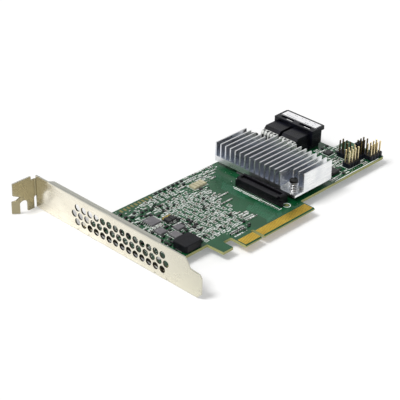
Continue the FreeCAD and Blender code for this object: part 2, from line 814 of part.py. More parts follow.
def port_housing():
    """A collar whose windowed roof stands out over two mouths, and a body behind each mouth."""
    collar_back = port_front - collar_depth
    half_collar = collar_width / 2
    low, high = port_centre - half_collar, port_centre + half_collar
    collar = box(collar_back, port_front, low, high, 0, collar_height)
    collar = collar.makeChamfer(collar_chamfer, standing_edges(collar, (port_front, low), (port_front, high)))
    step_side = port_centres[0] - port_body_width / 2 - collar_step_gap
    step_end = board_reach - port_recess + collar_board_gap
    beside_board = box(collar_back - past, step_end, low - past, step_side, -past, collar_step)
    mouth_top = mouth_floor + mouth_height
    under_lip = box(port_front - port_lip, port_front + past, low - past, high + past, -past, mouth_top)
    collar = collar.cut([beside_board, under_lip])
    body_back = port_back + comb_depth
    joint = collar_back + overlap
    bodies = []
    for centre in port_centres:
        side = centre - port_body_width / 2
        section = [
            (body_back, side, 0),
            (joint, side, 0),
            (joint, side, port_body_height),
            (body_back + body_slope, side, port_body_height),
            (body_back, side, port_body_height - body_slope),
        ]
        bodies.append(prism(section, (0, port_body_width, 0)))
    housing = collar.fuse(bodies)
    mouth_start = port_front - mouth_depth
    under_roof = mouth_top - overlap
    window_x = collar_back + latch_window_setback
    cuts = []
    for centre in port_centres:
        half, half_latch, half_nose = mouth_width / 2, latch_window[0] / 2, nose_width / 2
        mouth = box(mouth_start, port_front + past, centre - half, centre + half, mouth_floor, mouth_top)
        channel = box(
            mouth_start, port_front + past, centre - half_latch, centre + half_latch,
            under_roof, mouth_top + latch_channel,
        )
        window = box(
            window_x, window_x + latch_window[1], centre - half_latch, centre + half_latch,
            under_roof, collar_height + past,
        )
        seat = box(
            mouth_start - nose_root, mouth_start + overlap, centre - half_nose, centre + half_nose,
            nose_low, nose_high,
        )
        cuts += [mouth, channel, window, seat]
    return housing.cut(Part.makeCompound(cuts))


def card_slot_heights():
    middle = mouth_floor + mouth_height / 2
    return [middle - card_slot_pitch / 2, middle + card_slot_pitch / 2]


def port_nose(centre):
    """The contact block inside one mouth, with two card slots."""
    front = port_front - nose_setback
    back = port_front - mouth_depth - nose_root
    nose = box(back, front, centre - nose_width / 2, centre + nose_width / 2, nose_low, nose_high)
    for z in card_slot_heights():
        half = card_slot_width / 2
        slot = box(front - card_slot_depth, front + past, centre - half, centre + half,
                   z - card_slot_height / 2, z + card_slot_height / 2)
        nose = nose.cut(slot)
    return nose


def port_blades(centre):
    """Thin gold blades above and below each card slot."""
    front = port_front - nose_setback
    width, thickness = blade_size
    tip, root = front - blade_set_in, front - card_slot_depth
    blades = []
    for z in card_slot_heights():
        for side in (-1, 1):
            wall = z + side * card_slot_height / 2
            low, high = sorted((wall, wall - side * thickness))
            for k in range(blades_per_row):
                left = centre + (k - (blades_per_row - 1) / 2) * blade_pitch - width / 2
                blades.append(box(root, tip, left, left + width, low, high))
    return blades


def port_comb(centre):
    """The pale comb that closes the back of one body and spaces its contact tails."""
    half = port_body_width / 2 - comb_side_gap
    front = port_back + comb_depth
    top = port_body_height - body_slope
    slope_length, slope_drop = comb_top_slope
    side_profile = [
        (port_back, 0),
        (front, 0),
        (front, top),
        (port_back + slope_length, top),
        (port_back, top - slope_drop),
    ]
    comb = prism([(x, centre - half, z) for x, z in side_profile], (0, 2 * half, 0))
    slot_depth, slot_width, slot_foot = comb_slot
    step = 2 * half / (comb_slots + 1)
    outside, floor = port_back - past, port_back + slot_depth
    slots = []
    for k in range(1, comb_slots + 1):
        left = centre - half + k * step - slot_width / 2
        slots.append(box(outside, floor, left, left + slot_width, slot_foot, top + past))
    return comb.cut(slots)


def port_label():
    """The pale identification plate on the roof of the collar, left blank."""
    front = port_front - label_front_margin
    back = port_front - collar_depth + latch_window_setback + latch_window[1] + label_back_margin
    half = collar_width / 2 - label_side_margin
    top = collar_height + label_thickness
    return box(back, front, port_centre - half, port_centre + half, collar_height, top)


# ---------------------------------------------------------------- pin headers
def header_base_block(name):
    """A moulded strip with a notch between pins along its long sides."""
    x, y = header_corner(name)
    columns, rows = header_columns[name], header_rows[name]
    half = pin_pitch / 2
    edge_distance = half - header_shrink
    x0, y0 = x - edge_distance, y - edge_distance
    x1, y1 = x + (columns - 1) * pin_pitch + edge_distance, y + (rows - 1) * pin_pitch + edge_distance
    block = box(x0, x1, y0, y1, 0, header_base)
    cuts = []
    for i in range(columns + 1):
        for edge in (y0, y1):
            cuts.append(notch_at(x - half + i * pin_pitch, edge))
    for j in range(1, rows):
        for edge in (x0, x1):
            cuts.append(notch_at(edge, y - half + j * pin_pitch))
    cuts += [square_post(px, py, -past, header_base + past) for px, py in header_pins(name)]
    return block.cut(Part.makeCompound(cuts))


def notch_at(x, y):
    """A small diamond post that cuts a notch between two pins of a header."""
    n = header_notch
    return slab([(x - n, y), (x, y - n), (x + n, y), (x, y + n)], -past, header_base + past)


def header_pin(x, y, tip):
    """A square post with a chamfered tip, from under the board to its tip."""
    post = square_post(x, y, board_under - pin_tail, tip)
    return post.makeChamfer(pin_point, top_edges(post))


def jumper_shunt():
    """A moulded cap that bridges the first two pins of the back row of the back header."""
    x, y = header_corner("back")
    row_y = y + (header_rows["back"] - 1) * pin_pitch
    x0, x1 = x - pin_square / 2 - shunt_wall, x + pin_pitch + pin_square / 2 + shunt_wall
    y0, y1 = row_y - pin_square / 2 - shunt_wall, row_y + pin_square / 2 + shunt_wall
    cap_top = header_base + shunt_height
    cap = box(x0, x1, y0, y1, header_base, cap_top)
    cap = cap.makeChamfer(shunt_chamfer, top_edges(cap))
    return cap.cut([square_post(px, row_y, 0, cap_top + past) for px in (x, x + pin_pitch)])


# ---------------------------------------------------------------- chips and passives
def chip(x0, x1, y0, y1, height, lift=0.0):
    """A moulded chip body with softened top edges."""
    body = box(x0, x1, y0, y1, lift, height)
    return body.makeChamfer(chip_chamfer, top_edges(body))


def chip_on_board(place):
    """A moulded body standing flat on the board."""
    x, y, length, width, height = place
    return chip(x, x + length, y, y + width, height)


def chip_between_leads(place):
    """A moulded body carried just clear of the board by its leads."""
    x, y, length, width, height = place
    return chip(x, x + length, y, y + width, height, lead_stand_off)


def gull_leads(place):
    """Bent leads along both short sides: out of the body at mid height, down, and flat on the board."""
    x, y, length, width, height = place
    count = int((width - lead_width) // lead_pitch) + 1
    first = y + (width - (count - 1) * lead_pitch) / 2
    leads = []
    for edge, out in ((x, -1), (x + length, 1)):
        profile = [
            (edge, height / 2 + lead_metal),
            (edge + out * (lead_knee + lead_metal), height / 2 + lead_metal),
            (edge + out * (lead_knee + 2 * lead_metal), lead_metal),
            (edge + out * lead_reach, lead_metal),
            (edge + out * lead_reach, 0),
            (edge + out * (lead_knee + lead_metal), 0),
            (edge + out * lead_knee, height / 2),
            (edge, height / 2),
        ]
        for k in range(count):
            low = first + k * lead_pitch - lead_width / 2
            leads.append(prism([(px, low, pz) for px, pz in profile], (0, lead_width, 0)))
    return leads


def choke():
    """A pressed-powder power choke with clipped corners."""
    x0, y0 = choke_corner
    x1, y1 = x0 + choke_size[0], y0 + choke_size[1]
    c = choke_chamfer
    plan = [
        (x0 + c, y0),
        (x1 - c, y0),
        (x1, y0 + c),
        (x1, y1 - c),
        (x1 - c, y1),
        (x0 + c, y1),
        (x0, y1 - c),
        (x0, y0 + c),
    ]
    body = slab(plan, choke_stand_off, choke_height)
    return body.makeChamfer(choke_top_chamfer, top_edges(body))


def choke_terminals():
    """The two plated feet under the ends of the choke."""
    x0, y0 = choke_corner
    length, width = choke_foot
    low = y0 + (choke_size[1] - width) / 2
    near, far = x0 - choke_foot_reach, x0 + choke_size[0] + choke_foot_reach
    return [
        box(near, near + length, low, low + width, 0, choke_stand_off),
        box(far - length, far, low, low + width, 0, choke_stand_off),
    ]


def chip_row(xs, y, size, surface=0.0):
    """Equal small parts in a straight row, standing on one side of the board."""
    length, width, height = size
    low, high = (surface, surface + height) if surface == 0.0 else (surface - height, surface)
    return [box(x - length / 2, x + length / 2, y - width / 2, y + width / 2, low, high) for x in xs]


def row_between(first, spacing, last):
    """Equal steps from the first place up to the last that fits."""
    return [first + k * spacing for k in range(int((last - first) / spacing) + 1)]


def row_of(first, spacing, count):
    """A stated number of equal steps."""
    return [first + k * spacing for k in range(count)]


def small_parts(size, spacing, middle_rows, bracket_side_rows, far_rows):
    """The rows between bracket and socket, beside the bracket and beyond the heatsink."""
    parts = []
    for first, y, short_of_socket in middle_rows:
        parts += chip_row(row_between(first, spacing, socket_x - short_of_socket), y, size)
    for first, y in bracket_side_rows:
        parts += chip_row(row_of(first, bracket_side_spacing, bracket_side_count), y, size)
    for short_of_edge, y in far_rows:
        parts += chip_row(row_of(board_reach - short_of_edge, far_spacing, far_count), y, size)
    return parts


def memory_xs():
    """Low x of each memory chip, as many as fit before the heatsink's push pin."""
    length = memory_size[0]
    return row_between(memory_first[0], memory_pitch, heatsink_x - memory_to_heatsink - length)


def back_capacitors():
    """Small parts on the solder side, along both sides of the memory and under the heatsink."""
    xs = memory_xs()
    beside_memory = row_between(xs[0], memory_side_spacing, xs[-1] + memory_size[0])
    inset = under_heatsink_inset
    under_heatsink = row_between(heatsink_x + inset, under_heatsink_spacing, heatsink_end - inset)
    places = [(beside_memory, y) for y in memory_side_ys] + [(under_heatsink, y) for y in under_heatsink_ys]
    return [part for row, y in places for part in chip_row(row, y, capacitor_size, board_under)]


def tantalum_capacitors():
    """Two moulded capacitors side by side, with softened edges."""
    length, width, height = tantalum_size
    parts = []
    for k in range(2):
        x = tantalum_first[0] + k * tantalum_pitch - length / 2
        y = tantalum_first[1] - width / 2
        parts.append(chip(x, x + length, y, y + width, height))
    return parts


def ceramic_filters():
    """A row of ceramic filters with clipped top edges."""
    length, width, height = filter_size
    parts = []
    for k in range(filter_count):
        x = heatsink_x - filter_first[0] + k * filter_pitch - length / 2
        y = filter_first[1] - width / 2
        parts.append(chip(x, x + length, y, y + width, height))
    return parts


def memory_chips():
    """Memory on the solder side, one row of flat packages."""
    length, width, height = memory_size
    low = memory_first[1]
    return [box(x, x + length, low, low + width, board_under - height, board_under) for x in memory_xs()]


save("circuit_board", circuit_board())
save("edge_contacts_front", *edge_contacts(0, 1))
save("edge_contacts_back", *edge_contacts(board_under, -1))
save("bracket", bracket())
save("bracket_screws", *[bracket_screw(x, y) for x, y in screw_places])
save("heatsink", heatsink())
save("controller_chip", controller_chip())
save("thermal_pad", thermal_pad())
save("push_pins", *[push_pin(x, y) for x, y in push_pin_places])
save("push_pin_springs", *[push_pin_spring(x, y) for x, y in push_pin_places])
save("socket_housing", socket_housing())
save("socket_blades", *socket_contacts_gold())
save("socket_leads", *socket_leads())
save("port_housing", port_housing())
save("port_noses", *[port_nose(c) for c in port_centres])
save("port_blades", *[blade for c in port_centres for blade in port_blades(c)])
save("port_combs", *[port_comb(c) for c in port_centres])
save("port_tails", *[square_post(x, y, board_under - port_tail_length, 0) for x, y in port_tail_places()])
save("port_label", port_label())
for header in headers:
    save("header_base_" + header, header_base_block(header))
    tip_height = headers[header][2]
    save("header_pins_" + header, *[header_pin(x, y, tip_height) for x, y in header_pins(header)])
save("jumper_shunt", jumper_shunt())
save("power_choke", choke())
save("choke_terminals", *choke_terminals())
save("power_controller", chip_between_leads(power_controller_place))
save("power_controller_leads", *gull_leads(power_controller_place))
save("power_transistors", *[chip_on_board(place) for place in power_transistor_places])
save("gate_driver", chip_on_board(gate_driver_place))
save("flash_chip", chip_between_leads(flash_chip_place))
save("flash_chip_leads", *gull_leads(flash_chip_place))
save("buffer_chip", chip_on_board(buffer_chip_place))
save("tantalum_capacitors", *tantalum_capacitors())
save("ceramic_filters", *ceramic_filters())
coupling_x, coupling_y, coupling_pitch = coupling_row
coupling_xs = row_of(coupling_x, coupling_pitch, coupling_count)
save("coupling_capacitors", *chip_row(coupling_xs, coupling_y, coupling_size))
save("ceramic_capacitors", *small_parts(
    capacitor_size, capacitor_spacing, capacitor_rows, bracket_side_capacitors, far_capacitors
))
save("chip_resistors", *small_parts(
    resistor_size, resistor_spacing, resistor_rows, bracket_side_resistors, far_resistors
))
save("memory_chips", *memory_chips())
save("back_capacitors", *back_capacitors())
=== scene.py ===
# %% [markdown]
# # A RAID controller card
# The card is a green circuit board on a bright steel bracket. It carries a finned heatsink, a black
# board-to-board socket, a twin cable port, pin headers and many small soldered parts. The construction
# comes in as a fixed frame, and this lesson gives every piece its finish and adds the detail that is too
# fine for the construction: end caps, solder, vias, copper tracks and the white printed outlines.

# %% Load the frame
import bpy
import json
import math
import random
from mathutils import Matrix, Vector, noise
from mathutils.bvhtree import BVHTree


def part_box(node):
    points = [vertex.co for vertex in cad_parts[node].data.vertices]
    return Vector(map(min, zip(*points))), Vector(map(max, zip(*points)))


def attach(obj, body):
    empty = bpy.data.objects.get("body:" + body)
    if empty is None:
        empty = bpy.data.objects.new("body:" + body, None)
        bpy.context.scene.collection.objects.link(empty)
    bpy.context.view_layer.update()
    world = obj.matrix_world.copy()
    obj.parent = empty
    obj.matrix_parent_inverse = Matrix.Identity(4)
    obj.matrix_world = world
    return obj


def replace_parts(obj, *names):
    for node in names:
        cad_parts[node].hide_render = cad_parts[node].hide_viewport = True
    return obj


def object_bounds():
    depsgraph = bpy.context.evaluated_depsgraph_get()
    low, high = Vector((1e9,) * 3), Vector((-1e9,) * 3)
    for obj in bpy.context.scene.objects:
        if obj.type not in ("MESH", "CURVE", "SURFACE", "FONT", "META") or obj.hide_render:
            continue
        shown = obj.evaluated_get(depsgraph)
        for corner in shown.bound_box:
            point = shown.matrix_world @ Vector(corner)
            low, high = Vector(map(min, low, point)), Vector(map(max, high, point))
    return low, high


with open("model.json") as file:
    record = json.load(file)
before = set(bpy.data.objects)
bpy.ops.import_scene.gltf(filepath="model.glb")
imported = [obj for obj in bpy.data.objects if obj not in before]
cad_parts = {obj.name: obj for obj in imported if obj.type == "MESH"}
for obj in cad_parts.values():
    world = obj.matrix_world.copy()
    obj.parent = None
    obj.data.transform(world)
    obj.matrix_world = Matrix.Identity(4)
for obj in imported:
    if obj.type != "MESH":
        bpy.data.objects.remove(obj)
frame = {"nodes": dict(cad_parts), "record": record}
cad_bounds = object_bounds()
nodes = frame["nodes"]
mm = 0.001
print("nodes:", len(nodes), "overall size in mm:", [round(v / mm, 1) for v in cad_bounds[1] - cad_bounds[0]])

# %% [markdown]
# ## Tools for materials
# A colour is easiest to choose as a hex value, but the renderer wants linear light, so one function turns
# one into the other. A second function adds any shader node with its options and links in one call and
# hands back the output that the next node needs, so a chain of nodes reads like a formula.

# %% Colour and node helpers
def linear(code):
    """An sRGB hex colour as linear red, green, blue and alpha."""
    channels = [int(code[k:k + 2], 16) / 255 for k in (1, 3, 5)]
    return [c / 12.92 if c <= 0.04045 else ((c + 0.055) / 1.055) ** 2.4 for c in channels] + [1.0]


def add(tree, kind, inputs=(), out=0, **settings):
    """Add one shader node and return one of its outputs.

    The inputs go by name or in order, and each is a number, a hex colour or the output that feeds it.
    """
    node = tree.nodes.new("ShaderNode" + kind)
    for name, value in settings.items():
        setattr(node, name, value)
    for name, value in inputs.items() if isinstance(inputs, dict) else enumerate(inputs):
        if isinstance(value, bpy.types.NodeSocket):
            tree.links.new(value, node.inputs[name])
        else:
            node.inputs[name].default_value = linear(value) if isinstance(value, str) else value
    return node.outputs[out] if len(node.outputs) else None


def new_material(name):
    """An empty material, its node tree and the object's own coordinates in metres."""
    material = bpy.data.materials.new(name)
    material.use_nodes = True
    material.node_tree.nodes.clear()
    return material, material.node_tree, add(material.node_tree, "TexCoord", out="Object")


def give(material, *names):
    """Put a material on carried-over nodes."""
    for name in names:
        slots = nodes[name].data.materials
        slots.clear()
        slots.append(material)
    print(material.name, "->", ", ".join(names))


# %% [markdown]
# ## The solder mask
# The board is woven glass in epoxy with copper tracks on it, under a thin glossy green lacquer, the solder
# mask. Where a track runs below, the green is lighter and stands a few hundredths of a millimetre proud.
# Tracks run up the board side by side, so fine bands stand for them, and a soft noise fades them in and
# out. Real tracks are 0.1 mm wide, and these are as coarse as they need to be to show. The sawn edges show
# the bare laminate, so faces that look sideways get its olive yellow. The edge behind the bracket is seen
# through the vents, deep in shade, so it is drawn nearly black there.

# %% Solder mask over laminate
track_pitch, track_patch, copper_height = 0.9 * mm, 7 * mm, 0.02 * mm
mottle, saw_mark = 8 * mm, 0.6 * mm
wave_period = 2 * math.pi / 20          # of the band pattern at a scale of 1


def solder_mask():
    """Green lacquer over copper and laminate, with the bare laminate on the sawn edges."""
    material, tree, place = new_material("solder_mask_over_laminate")
    bands = {"Vector": place, "Scale": wave_period / track_pitch, "Distortion": 0.0}
    tracks = add(tree, "TexWave", bands, "Fac", wave_type="BANDS", bands_direction="X")
    patches = add(tree, "VectorMath", [place, (1, 0.4, 1)], operation="MULTIPLY")
    patches = add(tree, "TexNoise", {"Vector": patches, "Scale": 1 / track_patch})
    routed = add(tree, "MapRange", [patches, 0.42, 0.62, 0.0, 0.5])
    copper = add(tree, "Math", [add(tree, "MapRange", [tracks, 0.35, 0.65]), routed], operation="MULTIPLY")
    mottled = add(tree, "TexNoise", {"Vector": place, "Scale": 1 / mottle})
    laminate = add(tree, "Mix", {0: mottled, 6: "#083f21", 7: "#0c4c2a"}, 2, data_type="RGBA")
    over_copper = add(tree, "Mix", {0: mottled, 6: "#17603a", 7: "#23704a"}, 2, data_type="RGBA")
    mask = add(tree, "Mix", {0: copper, 6: laminate, 7: over_copper}, 2, data_type="RGBA")
    facing = add(tree, "SeparateXYZ", [add(tree, "NewGeometry", out="True Normal")], "Z")
    face = add(tree, "MapRange", [add(tree, "Math", [facing], operation="ABSOLUTE"), 0.4, 0.6])
    marks = add(tree, "VectorMath", [place, (0.2, 0.2, 3)], operation="MULTIPLY")
    marks = add(tree, "TexNoise", {"Vector": marks, "Scale": 1 / saw_mark})
    sawn = add(tree, "Mix", {0: marks, 6: "#8b8b5c", 7: "#bdbe82"}, 2, data_type="RGBA")
    from_bracket = add(tree, "MapRange", [add(tree, "SeparateXYZ", [place], "X"), 2 * mm, 4 * mm])
    edge = add(tree, "Mix", {0: from_bracket, 6: "#262317", 7: sawn}, 2, data_type="RGBA")
    shader = add(tree, "BsdfPrincipled", {
        "Base Color": add(tree, "Mix", {0: face, 6: edge, 7: mask}, 2, data_type="RGBA"),
        "Roughness": add(tree, "MapRange", [face, 0, 1, 0.75, 0.24]),
        "Normal": add(tree, "Bump", {"Height": copper, "Distance": copper_height}),
        "IOR": 1.52,
        "Specular IOR Level": 0.35,
    })
    add(tree, "OutputMaterial", {"Surface": shader})
    return material


give(solder_mask(), "circuit_board")

# %% [markdown]
# ## Plated metals
# Gold on the contacts is electroplated and wiped bright by the slot, so it has fine scratches along the way
# it slides. The bracket is rolled sheet steel with bright nickel on it, warm in colour and almost a mirror.
# The heatsink is an aluminium extrusion, brushed by its die along the fins and clear-anodised, which makes
# its shine wide and cool. Tin on leads and end caps is dull and slightly grainy, zinc on screws is a little
# darker, and drawn spring wire is smooth and bright. Each is a noise stretched along the way the surface
# was worked, so one function makes them all: light and dark colour, roughness, grain width, stretch,
# depth of the grain, rounding of edges, and how far the roughness wanders.

# %% Metal finishes
cloud_size = 9 * mm                     # of the faint patches in a plating


def metal(name, light, dark, roughness, grain, stretch, depth, edge=0.0, spread=0.08):
    """A metal whose colour, shine and surface all follow one stretched grain."""
    material, tree, place = new_material(name)
    drawn = add(tree, "VectorMath", [place, stretch], operation="MULTIPLY")
    streaks = add(tree, "TexNoise", {"Vector": drawn, "Scale": 1 / grain, "Detail": 4.0})
    clouds = add(tree, "TexNoise", {"Vector": place, "Scale": 1 / cloud_size})
    both = add(tree, "Math", [streaks, clouds], operation="ADD")
    tone = add(tree, "MapRange", [both, 0.7, 1.3])
    relief = {"Height": streaks, "Distance": depth}
    if edge:
        relief["Normal"] = add(tree, "Bevel", {"Radius": edge}, samples=4)
    shader = add(tree, "BsdfPrincipled", {
        "Base Color": add(tree, "Mix", {0: tone, 6: dark, 7: light}, 2, data_type="RGBA"),
        "Metallic": 1.0,
        "Roughness": add(tree, "MapRange", [both, 0.7, 1.3, roughness + spread, roughness - spread]),
        "Normal": add(tree, "Bump", relief),
    })
    add(tree, "OutputMaterial", {"Surface": shader})
    return material


along_x, along_y, evenly = (0.06, 1, 1), (1, 0.06, 1), (1, 1, 1)
gold = metal("hard_gold_plating", "#fbd04c", "#e3b23c", 0.3, 0.25 * mm, along_y, 0.003 * mm, 0, 0.03)
pin_gold = metal(
    "thin_gold_on_brass_pins", "#f9ebc2", "#e0cc98", 0.3, 0.3 * mm, evenly, 0.003 * mm, 0.08 * mm,
)
# The back and inner header pins are the same gold, darkened as painted shade.
shaded_pin_gold = metal("pin_gold_in_painted_shade", "#8c7c55", "#4d4430", 0.34, 0.3 * mm, evenly, 0.003 * mm, 0.08 * mm)
pad_gold = metal("thin_immersion_gold", "#a39a66", "#807a4c", 0.4, 0.3 * mm, evenly, 0.003 * mm)
nickel = metal(
    "bright_nickel_on_rolled_steel", "#f4efe0", "#e6e0d0", 0.24, 0.5 * mm, along_y, 0.002 * mm, 0.15 * mm,
)
zinc = metal("zinc_plated_steel", "#d9d9d6", "#b9b9b8", 0.3, 0.3 * mm, evenly, 0.004 * mm, 0.15 * mm)
anodised = metal(
    "clear_anodised_aluminium_extrusion", "#f1f2f1", "#d3d5d9", 0.32, 0.45 * mm, along_x, 0.008 * mm,
)
spring_steel = metal("drawn_spring_wire", "#e4e4e4", "#a9aaad", 0.2, 0.2 * mm, evenly, 0.002 * mm)
tin = metal("matt_tin_plating", "#f4f4f1", "#d2d3d0", 0.34, 0.2 * mm, evenly, 0.008 * mm)
metals = (gold, pin_gold, shaded_pin_gold, pad_gold, nickel, zinc, anodised, spring_steel, tin)
print("metals:", ", ".join(material.name for material in metals))

# %% [markdown]
# ## Painted shade on the bracket and heatsink
# Past the fold the tab of the bracket gets a darker olive colour as painted shade. Painted shade also darkens
# the flange's upward faces, the plate towards the tip and the walls of the punched vents. The anodising is
# painted greyer deep between the fins, where shade falls. Painting a mask would need an image, so the second
# colour is mixed in by ranges of height, depth and slope instead, and follows the shape.

# %% Painted shade that changes with the place
def recoloured(material, code, *ranges):
    """Mix one more colour into a finish where all of the ranges hold.

    A range is (measure, low, high): its share grows from none at low to all at high. The measure is x, y or
    z for the place, upward for how far the surface looks up, and across for how far it looks along X.
    """
    tree = material.node_tree
    shader = next(node for node in tree.nodes if node.type == "BSDF_PRINCIPLED")
    place = next(node for node in tree.nodes if node.type == "TEX_COORD").outputs["Object"]
    at = add(tree, "SeparateXYZ", [place]).node.outputs
    facing = add(tree, "SeparateXYZ", [add(tree, "NewGeometry", out="True Normal")]).node.outputs
    across = add(tree, "Math", [facing["X"]], operation="ABSOLUTE")
    measures = {"x": at["X"], "y": at["Y"], "z": at["Z"], "upward": facing["Z"], "across": across}
    share = 1.0
    for measure, low, high in ranges:
        grown = add(tree, "MapRange", [measures[measure], low, high])
        share = add(tree, "Math", [share, grown], operation="MULTIPLY")
    colour = shader.inputs["Base Color"].links[0].from_socket
    mixed = add(tree, "Mix", {0: share, 6: colour, 7: code}, 2, data_type="RGBA")
    tree.links.new(mixed, shader.inputs["Base Color"])


bracket_low, bracket_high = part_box("bracket")
seat = bracket_high.y - 3.2 * mm        # face of the tab; the turned-out finger stands higher
flange_foot = 12 * mm                   # under the bend of the flange
vent_depth, vent_start, vent_end, vent_low, vent_high = 1.0 * mm, 9 * mm, 80 * mm, -3.0 * mm, 11.0 * mm
# Painted shade: the plate is darkened towards the tip.
recoloured(nickel, "#cdcaba", ("y", 0.5 * bracket_high.y, bracket_low.y))
# Painted shade: the tab past the fold is given a darker olive colour.
recoloured(nickel, "#9c9478", ("y", seat - 1.6 * mm, seat - 0.4 * mm))
# Painted shade: faces of the flange that look up are darkened.
recoloured(nickel, "#bdbdb4", ("upward", 0.5, 0.8), ("z", flange_foot, flange_foot + 1 * mm))
# Painted shade: the walls of the punched vents are drawn dark.
recoloured(
    nickel, "#4b483f", ("across", 0.4, 0.2), ("x", vent_depth, vent_depth - 0.1 * mm),
    ("y", vent_start, vent_start + 1 * mm), ("y", vent_end, vent_end - 1 * mm),
    ("z", vent_high, vent_high - 0.2 * mm), ("z", vent_low, vent_low + 0.2 * mm),
)
sink_low, sink_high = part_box("heatsink")
fin_root = sink_low.z + 3.3 * mm        # top of the heatsink's base
# Painted shade: the anodising is greyer deep between the fins, above the base and away from the near face.
recoloured(
    anodised, "#ccd1db", ("z", sink_high.z - 0.2 * mm, fin_root),
    ("z", fin_root - 0.1 * mm, fin_root - 0.05 * mm), ("y", sink_low.y + 0.1 * mm, sink_low.y + 0.3 * mm),
)
give(gold, "edge_contacts_front", "edge_contacts_back", "socket_blades", "port_blades")
give(pin_gold, "header_pins_corner", "header_pins_middle")
# Painted shade: the back and inner rows of pins get the darkened gold.
give(shaded_pin_gold, "header_pins_back", "header_pins_inner")
give(nickel, "bracket")
give(anodised, "heatsink")
give(tin, "socket_leads", "port_tails", "choke_terminals", "power_controller_leads", "flash_chip_leads")

# %% [markdown]
# ## Moulded, pressed and fired parts
# Sockets and headers are injection-moulded in glass-filled resin from spark-eroded moulds, so they have an
# even fine grain and soft black highlights. Chips are moulded in epoxy full of ground silica: greyer, with
# light specks. The choke is pressed iron powder, dull and pitted, and the thermal pad is rolled silicone,
# matt grey. Ceramic and alumina are fired to a fine tooth, resistor glaze is fired glass-smooth, and ink is
# screened on and cured matt. All have one kind of build, fine grain over faint clouds of colour, so one
# function makes them. A real mould's grain is a few hundredths of a millimetre, and here it is as coarse as
# it needs to be to show.

# %% Moulded, pressed and fired finishes
def moulded(name, light, dark, roughness, grain, depth, edge=0.12 * mm, speck=None, gloss=0.5):
    """A moulded or fired surface: fine grain, faint clouds of colour and, if asked, small specks."""
    material, tree, place = new_material(name)
    fine = add(tree, "TexNoise", {"Vector": place, "Scale": 1 / grain})
    clouds = add(tree, "TexNoise", {"Vector": place, "Scale": 1 / (5 * mm)})
    tone = add(tree, "MapRange", [clouds, 0.35, 0.65])
    colour = add(tree, "Mix", {0: tone, 6: dark, 7: light}, 2, data_type="RGBA")
    if speck:
        dots = add(tree, "TexVoronoi", {"Vector": place, "Scale": 1 / (0.5 * mm)}, "Distance")
        dots = add(tree, "MapRange", [dots, 0.1, 0.16])
        colour = add(tree, "Mix", {0: dots, 6: speck, 7: colour}, 2, data_type="RGBA")
    rounded = add(tree, "Bevel", {"Radius": edge}, samples=4)
    shader = add(tree, "BsdfPrincipled", {
        "Base Color": colour,
        "Roughness": add(tree, "MapRange", [fine, 0.3, 0.7, roughness - 0.06, roughness + 0.06]),
        "Normal": add(tree, "Bump", {"Height": fine, "Distance": depth, "Normal": rounded}),
        "IOR": 1.5,
        "Specular IOR Level": gloss,
    })
    add(tree, "OutputMaterial", {"Surface": shader})
    return material


fine, silica, skin = 0.2 * mm, 0.12 * mm, 0.01 * mm         # grain widths, and the depth of a mould's grain
socket_resin = moulded("moulded_glass_filled_resin", "#121016", "#08080b", 0.34, fine, skin, gloss=0.2)
port_resin = moulded("moulded_resin_of_the_ports", "#10111b", "#08090e", 0.3, fine, skin, gloss=0.2)
header_resin = moulded("moulded_resin_of_the_headers", "#10131f", "#090b12", 0.4, fine, skin, gloss=0.2)
nylon = moulded("moulded_black_nylon", "#0c0c0d", "#070708", 0.42, 0.3 * mm, skin, gloss=0.2)
comb_resin = moulded("moulded_pale_resin", "#dfe1dd", "#cfd1cd", 0.45, fine, skin)
epoxy = moulded("moulded_chip_epoxy", "#6f6d70", "#5c5a5e", 0.42, silica, 0.008 * mm, 0.08 * mm, "#8b8a8f")
dark_epoxy = moulded(
    "moulded_dark_chip_epoxy", "#262628", "#1a1a1c", 0.4, silica, 0.008 * mm, 0.08 * mm, gloss=0.3,
)
powder = moulded(
    "pressed_iron_powder", "#101117", "#090a0e", 0.5, 0.25 * mm, 0.03 * mm, 0.15 * mm, "#1f2025", 0.2,
)
silicone = moulded("rolled_soft_silicone", "#8d9197", "#7b7f85", 0.6, 0.4 * mm, skin)
film = moulded("matt_coated_label_film", "#f2f2f3", "#e9e9ec", 0.5, 0.3 * mm, 0.003 * mm, 0.05 * mm)
cream_ceramic = moulded("fired_cream_ceramic", "#c6bf9f", "#aaa384", 0.35, fine, 0.008 * mm)
tan_ceramic = moulded("fired_tan_ceramic", "#7a7065", "#4d463e", 0.45, silica, 0.008 * mm)
alumina = moulded("fired_white_alumina", "#e4e4e0", "#d3d3cf", 0.5, silica, 0.006 * mm)
glaze = moulded("fired_black_resistor_glaze", "#131315", "#0b0b0c", 0.25, silica, 0.003 * mm, gloss=0.3)
ink = moulded("screened_white_epoxy_ink", "#fbfdfb", "#eef2ee", 0.6, fine, 0.004 * mm, 0.0)
dimple = moulded("polished_mould_dimple", "#9a999c", "#8a898c", 0.3, fine, 0.002 * mm, 0.0)
marking = moulded("printed_grey_label_ink", "#8f9094", "#77787c", 0.6, fine, 0.002 * mm, 0.0)
band_yellow = moulded("printed_yellow_epoxy_band", "#c9b25a", "#a48f42", 0.4, fine, 0.004 * mm)
raised_mask = moulded(
    "solder_mask_over_wide_copper", "#35795a", "#286549", 0.26, 2 * mm, 0.004 * mm, 0.0, gloss=0.4,
)
headers = ("corner", "back", "middle", "inner")
give(socket_resin, "socket_housing")
give(port_resin, "port_housing", "port_noses")
give(header_resin, "jumper_shunt", *("header_base_" + place for place in headers))
give(nylon, "push_pins")
give(comb_resin, "port_combs")
give(epoxy, "controller_chip", "power_controller", "power_transistors", "gate_driver")
give(dark_epoxy, "flash_chip", "buffer_chip", "memory_chips")
give(powder, "power_choke")
give(silicone, "thermal_pad")
give(film, "port_label")
give(cream_ceramic, "ceramic_filters")

# %% [markdown]
# ## Small shapes in one mesh
# Hundreds of tiny blocks would be slow as separate objects, so a pile collects their corners and faces
# and becomes one mesh at the end. Every block is closed, so the mesh can be printed or milled.

# %% A pile of small shapes
ink_width, ink_height = 0.26 * mm, 0.02 * mm      # of the printed lines


